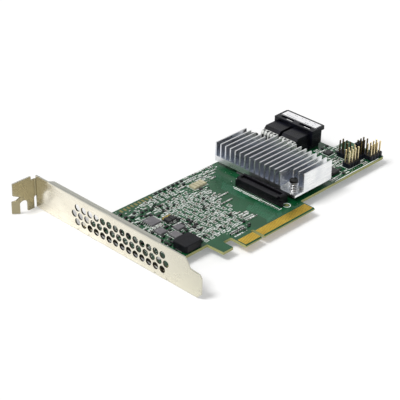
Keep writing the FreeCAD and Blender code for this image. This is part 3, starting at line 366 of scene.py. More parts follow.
class Pile:
    """Corners and faces of many small closed shapes, each with the number of its material."""

    def __init__(self):
        self.corners, self.faces, self.finishes = [], [], []

    def close(self, rings, finish=0):
        """Join rings of corners, lowest first and turning left, into one closed shape."""
        start, count = len(self.corners), len(rings[0])
        for ring in rings:
            self.corners += [tuple(corner) for corner in ring]
        self.faces.append([start + k for k in reversed(range(count))])
        for level in range(len(rings) - 1):
            low, high = start + level * count, start + (level + 1) * count
            for k in range(count):
                after = (k + 1) % count
                self.faces.append([low + k, low + after, high + after, high + k])
        top = start + (len(rings) - 1) * count
        self.faces.append([top + k for k in range(count)])
        self.finishes += [finish] * (2 + count * (len(rings) - 1))

    def block(self, x0, x1, y0, y1, z0, z1, finish=0, chamfer=0.0):
        """A box, with its upper edges clipped if asked."""
        def ring(z, inset):
            a, b, c, d = x0 + inset, x1 - inset, y0 + inset, y1 - inset
            return [(a, c, z), (b, c, z), (b, d, z), (a, d, z)]
        rings = [ring(z0, 0), ring(z1 - chamfer, 0)]
        if chamfer:
            rings.append(ring(z1, chamfer))
        self.close(rings, finish)

    def turned(self, x, y, profile, sides=12, finish=0):
        """A solid of revolution about an upright line; the profile lists (radius, height), lowest first."""
        turns = [2 * math.pi * (k + 0.5) / sides for k in range(sides)]
        rings = [[(x + r * math.cos(t), y + r * math.sin(t), z) for t in turns] for r, z in profile]
        self.close(rings, finish)

    def loop(self, outer, inner, z0, z1):
        """A flat closed frame between two outlines that turn left and have as many corners."""
        start, count = len(self.corners), len(outer)
        for ring, z in ((outer, z0), (inner, z0), (outer, z1), (inner, z1)):
            self.corners += [(x, y, z) for x, y in ring]
        for k in range(count):
            after = (k + 1) % count
            for a, b in ((0, 2), (2, 3), (3, 1), (1, 0)):
                low, high = start + a * count, start + b * count
                self.faces.append([low + k, low + after, high + after, high + k])
        self.finishes += [0] * (4 * count)

    def outline(self, x0, x1, y0, y1, z0, z1):
        """A printed line round a box, just outside it."""
        def ring(out):
            return [(x0 - out, y0 - out), (x1 + out, y0 - out), (x1 + out, y1 + out), (x0 - out, y1 + out)]
        self.loop(ring(ink_width), ring(0), z0, z1)

    def strip(self, points, width, z0, z1):
        """A flat track of even width along a line of points in plan."""
        left, right = [], []
        for k, (x, y) in enumerate(points):
            (px, py), (nx, ny) = points[max(k - 1, 0)], points[min(k + 1, len(points) - 1)]
            before = math.atan2(y - py, x - px) if k else math.atan2(ny - y, nx - x)
            after = math.atan2(ny - y, nx - x) if k < len(points) - 1 else before
            across = (before + after) / 2 + math.pi / 2
            reach = width / 2 / math.cos((after - before) / 2)
            left.append((x + reach * math.cos(across), y + reach * math.sin(across)))
            right.append((x - reach * math.cos(across), y - reach * math.sin(across)))
        for k in range(len(points) - 1):
            corners = [right[k], right[k + 1], left[k + 1], left[k]]
            self.close([[(x, y, z) for x, y in corners] for z in (z0, z1)])

    def piece(self, name, materials, slot):
        """Turn the pile into one object that rides with the card."""
        mesh = bpy.data.meshes.new(name)
        mesh.from_pydata(self.corners, [], self.faces)
        for material in materials:
            mesh.materials.append(material)
        mesh.polygons.foreach_set("material_index", self.finishes)
        mesh.update()
        made = bpy.data.objects.new(name, mesh)
        bpy.context.scene.collection.objects.link(made)
        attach(made, "root")
        print(name, "faces:", len(self.faces))
        return made


# %% [markdown]
# ## Where the soldered parts are
# The small parts came in as nodes that hold many separate solids. Their places are read from those solids:
# corners that share a face belong together, and each group gives the two corners of its box.

# %% Boxes of the separate solids of a node
def solid_boxes(name):
    """(lowest corner, highest corner) of every separate solid of one node."""
    mesh = nodes[name].data
    keys = [tuple(round(c / (0.001 * mm)) for c in vertex.co) for vertex in mesh.vertices]
    leader = {key: key for key in keys}

    def find(key):
        while leader[key] != key:
            leader[key] = leader[leader[key]]
            key = leader[key]
        return key

    for polygon in mesh.polygons:
        first = find(keys[polygon.vertices[0]])
        for corner in polygon.vertices[1:]:
            leader[find(keys[corner])] = first
    groups = {}
    for vertex, key in zip(mesh.vertices, keys):
        groups.setdefault(find(key), []).append(vertex.co)
    found = []
    for points in groups.values():
        low = Vector([min(p[k] for p in points) for k in range(3)])
        high = Vector([max(p[k] for p in points) for k in range(3)])
        found.append((low, high))
    return sorted(found, key=lambda pair: tuple(pair[0]))


print("separate ceramic capacitors:", len(solid_boxes("ceramic_capacitors")))

# %% [markdown]
# ## Chip capacitors and resistors
# A ceramic capacitor is a fired block dipped at both ends in tin, so its caps are a little larger than its
# body. A resistor is a white alumina chip with a black glaze on top and caps wrapped round both ends.
# Solder has climbed each end in a small slope.

# %% Chip parts with end caps
def chip_part(pile, low, high, body, top=None):
    """One two-ended part in the box between two corners; body, top and tin are material numbers."""
    x0, y0, z0 = low
    x1, y1, z1 = high
    lengthwise = 0 if x1 - x0 > y1 - y0 else 1
    cap = 0.24 * ((x1 - x0), (y1 - y0))[lengthwise]
    skin, rounding = 0.03 * mm, 0.05 * mm       # how far the tin stands out, and its soft edge
    if top is None:
        pile.block(x0 + skin, x1 - skin, y0 + skin, y1 - skin, z0 + skin, z1 - skin, body)
    else:
        waist = z0 + 0.7 * (z1 - z0)
        pile.block(x0 + skin, x1 - skin, y0 + skin, y1 - skin, z0 + skin, waist, body)
        if lengthwise == 0:
            pile.block(x0 + cap, x1 - cap, y0 + skin, y1 - skin, waist, z1, top)
        else:
            pile.block(x0 + skin, x1 - skin, y0 + cap, y1 - cap, waist, z1, top)
    if lengthwise == 0:
        pile.block(x0, x0 + cap, y0, y1, z0, z1, TIN, rounding)
        pile.block(x1 - cap, x1, y0, y1, z0, z1, TIN, rounding)
    else:
        pile.block(x0, x1, y0, y0 + cap, z0, z1, TIN, rounding)
        pile.block(x0, x1, y1 - cap, y1, z0, z1, TIN, rounding)


TIN, CERAMIC, ALUMINA, GLAZE = range(4)
chip_finishes = [tin, tan_ceramic, alumina, glaze]
dressed_parts = (
    ("ceramic_capacitors", "capacitors_with_end_caps", CERAMIC, None, "capacitor_ceramic"),
    ("chip_resistors", "resistors_with_end_caps", ALUMINA, GLAZE, "resistor_glaze"),
    ("back_capacitors", "back_capacitors_with_end_caps", CERAMIC, None, "capacitor_ceramic"),
    ("coupling_capacitors", "coupling_capacitors_with_end_caps", GLAZE, None, "capacitor_ceramic"),
)
for node_name, piece_name, body, top, slot in dressed_parts:
    pile = Pile()
    for low, high in solid_boxes(node_name):
        chip_part(pile, low, high, body, top)
    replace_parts(pile.piece(piece_name, chip_finishes, slot), node_name)

# %% [markdown]
# ## Free places on the board
# The board carries far more tiny parts than the construction holds: it is a field of them between the
# bracket and the socket. To add them without touching a part that is there, every separate solid near the
# board gives a taken rectangle. Rays from above tell where the board is, so that nothing hangs over a hole
# or an edge, and where the bracket's ears and the heatsink cover it.

# %% What is taken
board_low, board_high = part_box("circuit_board")
board_top, board_under = 0.0, board_low.z
face_of = {1: board_top, -1: board_under}       # 1 is the upper side of the board, -1 the solder side
ray_reach, flush = 60 * mm, 0.01 * mm           # how far off rays start, and how near a face they must land
not_obstacles = {"circuit_board", "bracket", "edge_contacts_front", "edge_contacts_back"}
taken = {1: [], -1: []}
for name in nodes:
    if name in not_obstacles:
        continue
    for low, high in solid_boxes(name):
        footprint = (low.x, high.x, low.y, high.y)
        if high.z > board_top:
            taken[1].append(footprint)
        if low.z < board_under:
            taken[-1].append(footprint)
print("taken above:", len(taken[1]), "below:", len(taken[-1]))


def tree_of(name):
    """The faces of a node, sorted so that rays can be shot at them."""
    mesh = nodes[name].data
    return BVHTree.FromPolygons([v.co for v in mesh.vertices], [list(p.vertices) for p in mesh.polygons])


board_tree, bracket_tree = tree_of("circuit_board"), tree_of("bracket")
socket_low, socket_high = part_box("socket_housing")


def is_free(x0, x1, y0, y1, side=1, gap=0.25 * mm):
    """Whether a rectangle of the board is bare, with a gap round it."""
    for a, b, c, d in taken[side]:
        if x0 - gap < b and x1 + gap > a and y0 - gap < d and y1 + gap > c:
            return False
    face = face_of[side]
    down = Vector((0, 0, -side))
    for x in (x0 - gap, (x0 + x1) / 2, x1 + gap):
        for y in (y0 - gap, (y0 + y1) / 2, y1 + gap):
            start = Vector((x, y, face + side * ray_reach))
            struck = board_tree.ray_cast(start, down)[0]
            if struck is None or abs(struck.z - face) > flush:
                return False
            if bracket_tree.ray_cast(start, down, ray_reach)[0] is not None:
                return False
    return True


def take(x0, x1, y0, y1, side=1):
    """Note that a rectangle of the board is taken."""
    taken[side].append((x0, x1, y0, y1))


def layer(side, thickness):
    """The two heights of a thin layer on one face of the board, lower first."""
    return sorted((face_of[side], face_of[side] + side * thickness))


# %% [markdown]
# ## Printed outlines and small parts
# White epoxy ink is screen-printed on the mask: a frame round every part, and short marks beside it. The
# frames are real shapes here, two hundredths of a millimetre high. A seeded generator draws what comes
# next in a row, a group of parts, some marks, a via or a gap, so the result is the same each time, and a
# part is placed only where the board is free. The parts point the same way, as machine-placed ones do.

# %% Vias, marks and groups of parts
draw = random.Random(7)
print_pile, field_pile, via_pile = Pile(), Pile(), Pile()
field_finishes = [tin, tan_ceramic, alumina, glaze, dark_epoxy]
DARK = 4
via_radius, mark_pitch = 0.3 * mm, 0.62 * mm


def via(x, y, side=1):
    """A plated hole through the board: a tinned ring and a dark middle."""
    for radius, lift, finish in ((via_radius, 0.02 * mm, 0), (0.45 * via_radius, 0.025 * mm, 1)):
        low, high = layer(side, lift)
        via_pile.turned(x, y, [(radius, low), (radius, high)], 8, finish)


def printed_marks(x, y, count, side=1):
    """A few short dashes of ink beside a part."""
    for k in range(count):
        start = x + k * mark_pitch
        print_pile.block(start, start + 0.4 * mm, y, y + 0.9 * mm, *layer(side, ink_height))


# length, width and height of the parts
larger, smaller = (1.6 * mm, 0.8 * mm, 0.6 * mm), (1.0 * mm, 0.6 * mm, 0.35 * mm)
dark_part = (2.0 * mm, 1.25 * mm, 0.9 * mm)


def part_group(x, y, count, size, side=1, dark=False):
    """Parts in line inside one long frame; returns how far the group takes along the row, or None."""
    length, width, height = size
    edge, between = 0.26 * mm, 0.4 * mm
    x0, y0 = x + ink_width + edge, y + ink_width + edge
    x1, y1 = x0 + count * length + (count - 1) * between, y0 + width
    around = (x0 - edge, x1 + edge, y0 - edge, y1 + edge)
    if not is_free(*around, side, ink_width):
        return None
    z0, z1 = (board_top, height) if side == 1 else (board_under - height, board_under)
    for k in range(count):
        a = x0 + k * (length + between)
        if dark:
            lead = 0.25 * mm
            field_pile.block(a + lead, a + length - lead, y0, y1, z0, z1, DARK, 0.1 * mm)
            for b in (a, a + length - lead):
                field_pile.block(b, b + lead, y0 + 0.2 * mm, y1 - 0.2 * mm, z0, z0 + 0.3 * mm, TIN)
        else:
            body, top = draw.choice(((CERAMIC, None), (ALUMINA, GLAZE), (ALUMINA, None)))
            chip_part(field_pile, (a, y0, z0), (a + length, y1, z1), body, top if side == 1 else None)
    style = draw.random()
    if style < 0.15:
        print_pile.outline(*around, *layer(side, ink_height))
    elif style < 0.8:
        lines = (around[3], around[2] - ink_width) if style < 0.35 else (around[3],)
        for line in lines:
            print_pile.block(around[0], around[1], line, line + ink_width, *layer(side, ink_height))
    take(around[0] - ink_width, around[1] + ink_width, around[2] - ink_width, around[3] + ink_width, side)
    return x1 - x0 + 2 * (edge + ink_width)


def fill_row(x_start, x_end, y, fullness, side=1, dark_share=0.08):
    """Fill one row with groups, marks and vias; fullness is how much of it carries parts."""
    x = x_start
    while x < x_end:
        patch = noise.noise(Vector((x, 2.2 * y, side * 5 * mm)) / (9 * mm))
        share = fullness + 0.95 * patch
        kind = draw.random()
        step = 0.45 * mm
        if kind < share:
            dark = draw.random() < dark_share
            if dark:
                size, count = dark_part, 1
            else:
                size = larger if draw.random() < 0.35 else smaller
                count = draw.choice((1, 2, 2, 3, 4, 5))
            step = part_group(x, y, count, size, side, dark) or step
        elif kind < share + 0.35 * (1 - share):
            count = draw.choice((2, 3, 4, 5))
            reach = count * mark_pitch
            if is_free(x, x + reach, y + 0.2 * mm, y + 1.1 * mm, side, 0.1 * mm):
                printed_marks(x, y + 0.2 * mm, count, side)
                step = reach + 0.2 * mm
                take(x, x + step, y, y + 1.1 * mm, side)
        else:
            if is_free(x, x + 0.7 * mm, y, y + 0.7 * mm, side, 0.1 * mm):
                via(x + 0.35 * mm, y + 0.35 * mm + draw.random() * 0.5 * mm, side)
            step = draw.uniform(0.9, 2.2) * mm
        x += step + 0.15 * mm


# %% [markdown]
# ## Probe pads and the top edge
# Along the top edge lies a row of bare pads for test probes: copper with a thin dull coat of gold, made as
# flat blocks thinner than paper. Past them stand a few dark chips in a line. Both have a fixed place, so
# they come before the rows that fill what is left.

# %% Probe pads and the top edge
pad_pile, pad_height = Pile(), 0.03 * mm
probe_pad, probe_pitch = (1.3 * mm, 2.4 * mm), 2.57 * mm
for k in range(9):
    x, y = 22.0 * mm + k * probe_pitch, board_high.y - 3.6 * mm
    if is_free(x, x + probe_pad[0], y, y + probe_pad[1]):
        pad_pile.block(x, x + probe_pad[0], y, y + probe_pad[1], 0, pad_height)
        take(x - 0.5 * mm, x + probe_pad[0] + 0.5 * mm, y - 0.4 * mm, y + probe_pad[1] + 1.2 * mm)
x = 46.0 * mm
while x < 66 * mm:
    x += (part_group(x, board_high.y - 3.2 * mm, 1, dark_part, 1, True) or 0.5 * mm) + 0.1 * mm
print("faces of probe pads:", len(pad_pile.faces))

# %% [markdown]
# ## Rows between the bracket and the socket
# The field has a ragged outline: it ends where the tracks to the contacts and the smooth green in front of
# the socket begin. Two borders, each a line of points, give the ends of every row, and the ground nearer
# the bracket than the second one has rows of its own, with more dark chips in them.

# %% Rows of small parts
far_end = [(55.0, 7.5), (62.0, 12.7), (69.5, 20.0), (60.0, 27.5), (64.5, 36.0), (69.0, 42.0)]
far_end += [(73.0, 54.0), (83.0, 58.0), (92.5, 64.0)]
near_end = [(46.5, 8.6), (47.5, 15.7), (31.5, 17.0), (31.5, 24.0)]     # both as x and y in mm
row_pitch = 2.0 * mm


def limit_at(y, border):
    """The x where a border crosses a height y, all in mm."""
    for (x_low, y_low), (x_high, y_high) in zip(border, border[1:]):
        if y_low <= y <= y_high:
            return x_low + (x_high - x_low) * (y - y_low) / (y_high - y_low)
    return border[0][0] if y < border[0][1] else border[-1][0]


def fullness_at(y):
    """How much of a row carries parts: little by the contacts, most along the top."""
    if y > 58 * mm:
        return 0.76
    return 0.62 if y > 14 * mm else 0.25


y = 8.8 * mm
while y < board_high.y - 1.6 * mm:
    end, start = limit_at(y / mm, far_end) * mm, limit_at(y / mm, near_end) * mm
    fill_row(start, end, y, fullness_at(y))
    if y > 15 * mm:
        fill_row(4.0 * mm, start, y, 0.7, dark_share=0.6)
    y += row_pitch
print("faces of the rows:", len(field_pile.faces))

# %% [markdown]
# ## Loose parts
# Between the rows lie single parts that line up with nothing. Places are drawn at random inside the same
# borders and kept where the board is still free, in three passes of ever smaller parts. Rows past the
# heatsink close the field.

# %% Loose parts and the rows past the heatsink
def scatter(tries, x_range, y_range, sizes, finish):
    """Loose parts without frames in what the rows left bare."""
    for _ in range(tries):
        x, y = draw.uniform(*x_range) * mm, draw.uniform(*y_range) * mm
        length, width, height = draw.choice(sizes)
        if draw.random() < 0.3:
            length, width = width, length
        inside = x < limit_at(y / mm, far_end) * mm and (y > 17 * mm or x > limit_at(y / mm, near_end) * mm)
        if inside and is_free(x, x + length, y, y + width, gap=0.12 * mm):
            field_pile.block(x, x + length, y, y + width, board_top, height, finish, 0.05 * mm)
            take(x, x + length, y, y + width)


scatter(900, (4.0, 40.0), (16.5, 60.0), (dark_part, larger, smaller), DARK)
scatter(260, (30.0, 90.0), (10.0, 66.5), (smaller, larger), DARK)
scatter(260, (4.0, 90.0), (10.0, 66.5), (smaller,), TIN)
y = 11.6 * mm
while y < 40 * mm:
    fill_row(sink_high.x + 1.2 * mm, 158 * mm, y, 0.6, dark_share=0.15)
    y += row_pitch
print("faces of all small parts:", len(field_pile.faces))

# %% [markdown]
# ## Frames round the larger parts
# Each part of the construction that is soldered on has a printed frame a little outside it as well, drawn
# from its own box, so it stays right if the part moves.

# %% Frames round the construction's parts
framed_nodes = (
    "power_controller", "power_transistors", "gate_driver", "flash_chip", "buffer_chip", "power_choke",
    "tantalum_capacitors", "ceramic_filters", "ceramic_capacitors", "chip_resistors",
    *("header_base_" + place for place in headers), "memory_chips", "back_capacitors",
)
frame_gap, room_for_leads = 0.35 * mm, 1.0 * mm
for name in framed_nodes:
    reach = frame_gap
    if name in ("flash_chip", "power_controller"):
        reach += room_for_leads
    for low, high in solid_boxes(name):
        side = 1 if high.z > board_top else -1
        x0, x1, y0, y1 = low.x - reach, high.x + reach, low.y - reach, high.y + reach
        corners = [(x, y) for x in (x0 - ink_width, x1 + ink_width) for y in (y0 - ink_width, y1 + ink_width)]
        starts = [Vector((x, y, side * ray_reach)) for x, y in corners]
        hits = [board_tree.ray_cast(start, Vector((0, 0, -side)))[0] for start in starts]
        if all(hit is not None and abs(hit.z - face_of[side]) < flush for hit in hits):
            print_pile.outline(x0, x1, y0, y1, *layer(side, ink_height))
print("faces of the print:", len(print_pile.faces))

# %% [markdown]
# ## The solder side
# The solder side carries the memory and the parts round it. Its rows are looser: the space is for vias.

# %% Rows on the solder side
y = 16 * mm
while y < board_high.y - 4 * mm:
    fill_row(22 * mm, 122 * mm, y, 0.1, -1)
    y += 2.4 * mm
print("faces of vias:", len(via_pile.faces))

# %% [markdown]
# ## Wide tracks
# Wide tracks run up from the edge contacts to the controller: strips of mask-covered copper that stand a
# little proud and turn by 45 degrees, side by side. Strips along a line of points make them. Their turns
# are staggered in groups of nine, and a strip is left out where something stands in its way.

# %% Tracks
track_pile, track_height = Pile(), 0.02 * mm
contacts = [pair for pair in solid_boxes("edge_contacts_front") if pair[0].x > 58 * mm]
track_width, track_start, shift = 0.3 * mm, 0.6 * mm, 2.2 * mm
for k, (low, high) in enumerate(contacts):
    x = (low.x + high.x) / 2
    first = high.y + track_start
    turn = first + 0.5 * mm + 0.14 * mm * (k % 9)
    end = 24 * mm + 0.5 * mm * (k % 5)
    points = [(x, first), (x, turn), (x + shift, turn + shift), (x + shift, end)]
    clear = all(is_free(x + shift - track_width, x + shift + track_width, y, y + 0.5 * mm)
                for y in (turn + shift, (turn + shift + end) / 2, end))
    if clear and is_free(x - track_width, x + track_width, first, turn, gap=0.05 * mm):
        track_pile.strip(points, track_width, 0, track_height)
for k in range(24):
    x = (66.5 + 0.68 * k) * mm
    low, high = (31 + 0.6 * (k % 4)) * mm, (40 + 0.5 * k) * mm
    if is_free(x - 0.1 * mm, x + 0.1 * mm, low, high, gap=0.1 * mm):
        track_pile.strip([(x, low), (x, high)], 0.26 * mm, 0, track_height)

print("faces of tracks:", len(track_pile.faces))

# %% [markdown]
# ## Loose vias and the last prints
# Vias also stand alone, where a track changes from one copper layer to another, and they are scattered over
# both sides. A printed ring round the guide hole and a line along the lower edge end the print. Then
# each pile becomes one piece.

# %% Loose vias, ring and border
bare_field = (66 * mm, 84 * mm)         # smooth green between the parts and the socket
for _ in range(420):
    x, y = draw.uniform(board_low.x, board_high.x), draw.uniform(9 * mm, board_high.y)
    side = draw.choice((1, -1))
    if side == 1 and bare_field[0] < x < bare_field[1]:
        continue
    if is_free(x - via_radius, x + via_radius, y - via_radius, y + via_radius, side, 0.2 * mm):
        via(x, y, side)
        take(x - 0.4 * mm, x + 0.4 * mm, y - 0.4 * mm, y + 0.4 * mm, side)

guide_hole = next(mount for mount in frame["record"]["mounts"] if mount["name"] == "module_guide_hole")
hole_x, hole_y = guide_hole["pos_m"][:2]
turns = [2 * math.pi * k / 24 for k in range(24)]
ring_outer, ring_inner = [[(hole_x + r * math.cos(t), hole_y + r * math.sin(t)) for t in turns]
                          for r in (2.2 * mm, 1.8 * mm)]
print_pile.loop(ring_outer, ring_inner, 0, ink_height)
edge_start, edge_end = sink_high.x + 3 * mm, board_high.x - 4 * mm
half_depth = (board_top + board_under) / 2
edge_y = board_tree.ray_cast(Vector((edge_start, -ray_reach, half_depth)), Vector((0, 1, 0)))[0].y
border_y = edge_y + 0.5 * mm
print_pile.strip([(edge_start, border_y), (edge_end, border_y)], 0.5 * mm, board_top, board_top + ink_height)

field_pile.piece("field_of_small_parts", field_finishes, "capacitor_ceramic")
print_pile.piece("printed_outlines", [ink], "label_film")
via_pile.piece("vias", [tin, glaze], "solder_tin")
pad_pile.piece("probe_pads", [pad_gold], "contact_gold")
track_pile.piece("copper_tracks", [raised_mask], "solder_mask")

# %% [markdown]
# ## Dots that mark the first pin
# Each moulded chip has a shallow round dimple at its first pin, lighter than the top. A thin disc in the
# colour of the mould's polished pin stands for it.

# %% First-pin dots
dot_pile = Pile()
moulded_chips = (
    "power_controller", "power_transistors", "gate_driver", "flash_chip", "buffer_chip", "memory_chips",
)
for name in moulded_chips:
    for low, high in solid_boxes(name):
        radius = 0.07 * min(high.x - low.x, high.y - low.y)
        inset = 3.2 * radius
        z0, z1 = (high.z, high.z + 0.01 * mm) if high.z > board_top else (low.z - 0.01 * mm, low.z)
        dot_pile.turned(low.x + inset, high.y - inset, [(radius, z0), (radius, z1)], 14)
dot_pile.piece("first_pin_dots", [dimple], "chip_mould")

# %% [markdown]
# ## Tantalum capacitors
# A tantalum capacitor is a dark epoxy brick with a yellow band at its positive end and a folded tin strip
# under each end. The band is a thin layer of its own round three sides.

# %% Tantalum capacitors
tantalum_pile = Pile()
band, foot = 0.9 * mm, 0.5 * mm
for low, high in solid_boxes("tantalum_capacitors"):
    x0, x1 = low.x, high.x
    body_y, body_z = (low.y + 0.1 * mm, high.y - 0.1 * mm), (low.z + 0.2 * mm, high.z - 0.02 * mm)
    tantalum_pile.block(x0, x1, *body_y, *body_z, 0, 0.2 * mm)
    end, layer_width = high.y - 0.5 * mm, 0.01 * mm
    band_box = (x0 - layer_width, x1 + layer_width, end - band, end, low.z + 1.0 * mm, high.z)
    tantalum_pile.block(*band_box, 1, 0.2 * mm)
    for y0, y1 in ((low.y, low.y + foot), (high.y - foot, high.y)):
        tantalum_pile.block(x0 + 0.3 * mm, x1 - 0.3 * mm, y0, y1, low.z, low.z + 0.9 * mm, 2, 0.05 * mm)
tantalums = tantalum_pile.piece("tantalums_with_bands", [dark_epoxy, band_yellow, tin], "tantalum_yellow")
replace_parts(tantalums, "tantalum_capacitors")

# %% [markdown]
# ## Springs
# A push pin's spring is hard drawn round wire. A helix of points with a round section makes it, and the last
# three quarters of a turn at each end lie flat, as a closed spring's do. A curve keeps the wire round all
# along, where a mesh would need each ring of it placed.

# %% Springs
spring_curve = bpy.data.curves.new("push_pin_springs_round_wire", "CURVE")
spring_curve.dimensions = "3D"
wire_radius = 0.225 * mm
spring_curve.bevel_depth = wire_radius
spring_curve.bevel_resolution = 2
spring_curve.use_fill_caps = True
turns_free, steps = 5.0, 16
for low, high in solid_boxes("push_pin_springs"):
    centre = (low + high) / 2
    radius = (high.x - low.x) / 2 - wire_radius
    count = int((turns_free + 1.5) * steps) + 1
    spline = spring_curve.splines.new("POLY")
    spline.points.add(count - 1)
    bottom, top = low.z + wire_radius, high.z - wire_radius
    for k in range(count):
        turn = k / steps
        rise = min(max((turn - 0.75) / turns_free, 0), 1)
        angle = 2 * math.pi * turn
        z = bottom + (top - bottom) * rise
        spline.points[k].co = (centre.x + radius * math.cos(angle), centre.y + radius * math.sin(angle), z, 1)
springs = bpy.data.objects.new("push_pin_springs_round_wire", spring_curve)
spring_curve.materials.append(spring_steel)
bpy.context.scene.collection.objects.link(springs)
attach(springs, "root")
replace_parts(springs, "push_pin_springs")
print("springs:", len(spring_curve.splines))

# %% [markdown]
# ## Screws
# The bracket's two screws are pan heads with a cross recess. The head is turned from a profile, and a boolean
# cuts a tapered cross out of it, which gives the recess its sloping walls.

# %% Screws with a cross recess
def cut_away(body, cutter):
    """Cut one object out of another and keep the result as plain mesh."""
    modifier = body.modifiers.new("recess", "BOOLEAN")
    modifier.operation = "DIFFERENCE"
    modifier.object = cutter
    modifier.solver = "EXACT"
    shaped = bpy.data.meshes.new_from_object(body.evaluated_get(bpy.context.evaluated_depsgraph_get()))
    body.modifiers.clear()
    old, body.data = body.data, shaped
    bpy.data.meshes.remove(old)
    bpy.data.objects.remove(cutter)


screw_pile, recess_pile = Pile(), Pile()
for low, high in solid_boxes("bracket_screws"):
    x, y = (low.x + high.x) / 2, (low.y + high.y) / 2
    head, shank = (high.x - low.x) / 2, 1.45 * mm
    under = high.z - 1.9 * mm
    profile = [(0.8 * shank, low.z), (shank, low.z + 0.4 * mm), (shank, under)]
    screw_pile.turned(x, y, profile, 16)
    dome = [(head, under), (head, under + 0.7 * mm), (0.93 * head, under + 1.2 * mm)]
    dome += [(0.72 * head, under + 1.65 * mm), (0.45 * head, high.z)]
    screw_pile.turned(x, y, dome, 28)
    for along, across in ((1.5 * mm, 0.32 * mm), (0.32 * mm, 1.5 * mm)):
        rings = []
        for z, share in ((high.z - 1.1 * mm, 0.45), (high.z + 0.3 * mm, 1.0)):
            a, b = max(along * share, 0.3 * mm), max(across * share, 0.3 * mm)
            rings.append([(x - a, y - b, z), (x + a, y - b, z), (x + a, y + b, z), (x - a, y + b, z)])
        recess_pile.close(rings)
screws = screw_pile.piece("screws_with_cross_recess", [zinc], "screw_steel")
recess_mesh = bpy.data.meshes.new("recess")
recess_mesh.from_pydata(recess_pile.corners, [], recess_pile.faces)
recess = bpy.data.objects.new("recess", recess_mesh)
bpy.context.scene.collection.objects.link(recess)
cut_away(screws, recess)
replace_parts(screws, "bracket_screws")

# %% [markdown]
# ## Solder
# Every through-hole pin ends in a small cone of solder on the far side of the board, drawn up the pin as it
# cooled. The cones are turned shapes with a hollow flank.

# %% Solder cones
solder_pile = Pile()
cone = [(1.0, 0.0), (0.72, 0.22), (0.52, 0.6), (0.42, 0.95)]       # radius and height in mm
for name in (*("header_pins_" + place for place in headers), "port_tails"):
    for low, high in solid_boxes(name):
        x, y = (low.x + high.x) / 2, (low.y + high.y) / 2
        profile = [(r * mm, board_under - z * mm) for r, z in reversed(cone)]
        solder_pile.turned(x, y, profile, 12)
solder_pile.piece("solder_cones", [tin], "solder_tin")

# %% [markdown]
# ## Ribs on the socket
# The socket's long side towards the bracket is ribbed where its contacts stand in the wall. A ray at each
# lead finds the wall, so the ribs stay on it when the socket moves.

# %% Socket ribs
rib_pile = Pile()
rib_proud, rib_width = 0.15 * mm, 0.45 * mm
lead_ys = sorted({round((low.y + high.y) / 2 / mm, 2) * mm for low, high in solid_boxes("socket_leads")})
socket_tree = tree_of("socket_housing")
rib_bottom, rib_top = 1.2 * mm, socket_high.z - 0.7 * mm
for y in lead_ys:
    wall = socket_tree.ray_cast(Vector((0, y, (rib_bottom + rib_top) / 2)), Vector((1, 0, 0)))[0]
    if wall is not None:
        y0, y1 = y - rib_width / 2, y + rib_width / 2
        rib_pile.block(wall.x - rib_proud, wall.x, y0, y1, rib_bottom, rib_top, 0, 0.05 * mm)
rib_pile.piece("socket_ribs", [socket_resin], "socket_plastic")

# %% [markdown]
# ## Solder and print at the socket
# Every foot of the socket ends in a small mound of solder on its pad, a block with clipped edges. A broken
# line of white ink runs along the front of the socket, with a whole one beside it and a short one across
# their end.

# %% Socket solder and print
fillet_pile, segment_pile = Pile(), Pile()
fillet_reach, fillet_half = 0.45 * mm, 0.3 * mm
socket_middle = (socket_low.x + socket_high.x) / 2
for low, high in solid_boxes("socket_leads"):
    y = (low.y + high.y) / 2
    outwards = -1 if (low.x + high.x) / 2 < socket_middle else 1
    tip = low.x if outwards < 0 else high.x
    x0, x1 = sorted((tip, tip + outwards * fillet_reach))
    fillet_pile.block(x0, x1, y - fillet_half, y + fillet_half, 0, 0.16 * mm, 0, 0.06 * mm)
fillet_pile.piece("socket_lead_solder", [tin], "solder_tin")
line_x = socket_low.x - 2.9 * mm
y = socket_low.y - 0.5 * mm
while y < socket_high.y - 6 * mm:
    length = draw.uniform(2.5, 6.5) * mm
    segment_pile.block(line_x, line_x + 0.4 * mm, y, y + length, 0, ink_height)
    y += length + draw.uniform(0.5, 1.4) * mm
for a, b, c, d in ((line_x, socket_low.x - 0.3 * mm, socket_low.y - 0.9 * mm, socket_low.y - 0.5 * mm),
                   (socket_low.x - 1.9 * mm, socket_low.x - 1.55 * mm, socket_low.y, socket_high.y)):
    segment_pile.block(a, b, c, d, 0, ink_height)
segment_pile.piece("socket_print", [ink], "label_film")

# %% [markdown]
# ## Ribs and wafers of the port
# The side of the port is ribbed too. Two rays look for its wall at each rib, and the rib stands on the
# deeper of the two places that they meet, so that it never hangs in front of a recess.
# The combs at the back hold dark wafers that carry the blades, one between each two teeth.

# %% Port ribs
port_rib_pile = Pile()
port_low, port_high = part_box("port_housing")
port_tree = tree_of("port_housing")
rib_pitch, port_rib = 0.95 * mm, 0.12 * mm
x = port_low.x + 1.2 * mm
while x < port_high.x - 4 * mm:
    starts = [Vector((x, port_low.y - 20 * mm, z)) for z in (2.5 * mm, 6.5 * mm)]
    hits = [port_tree.ray_cast(start, Vector((0, 1, 0)))[0] for start in starts]
    if all(hit is not None for hit in hits):
        wall = max(hit.y for hit in hits)
        port_rib_pile.block(x, x + 0.35 * mm, wall - port_rib, wall, 2.6 * mm, 8.0 * mm, 0, 0.04 * mm)
    x += rib_pitch
port_rib_pile.piece("port_side_ribs", [port_resin], "port_plastic")

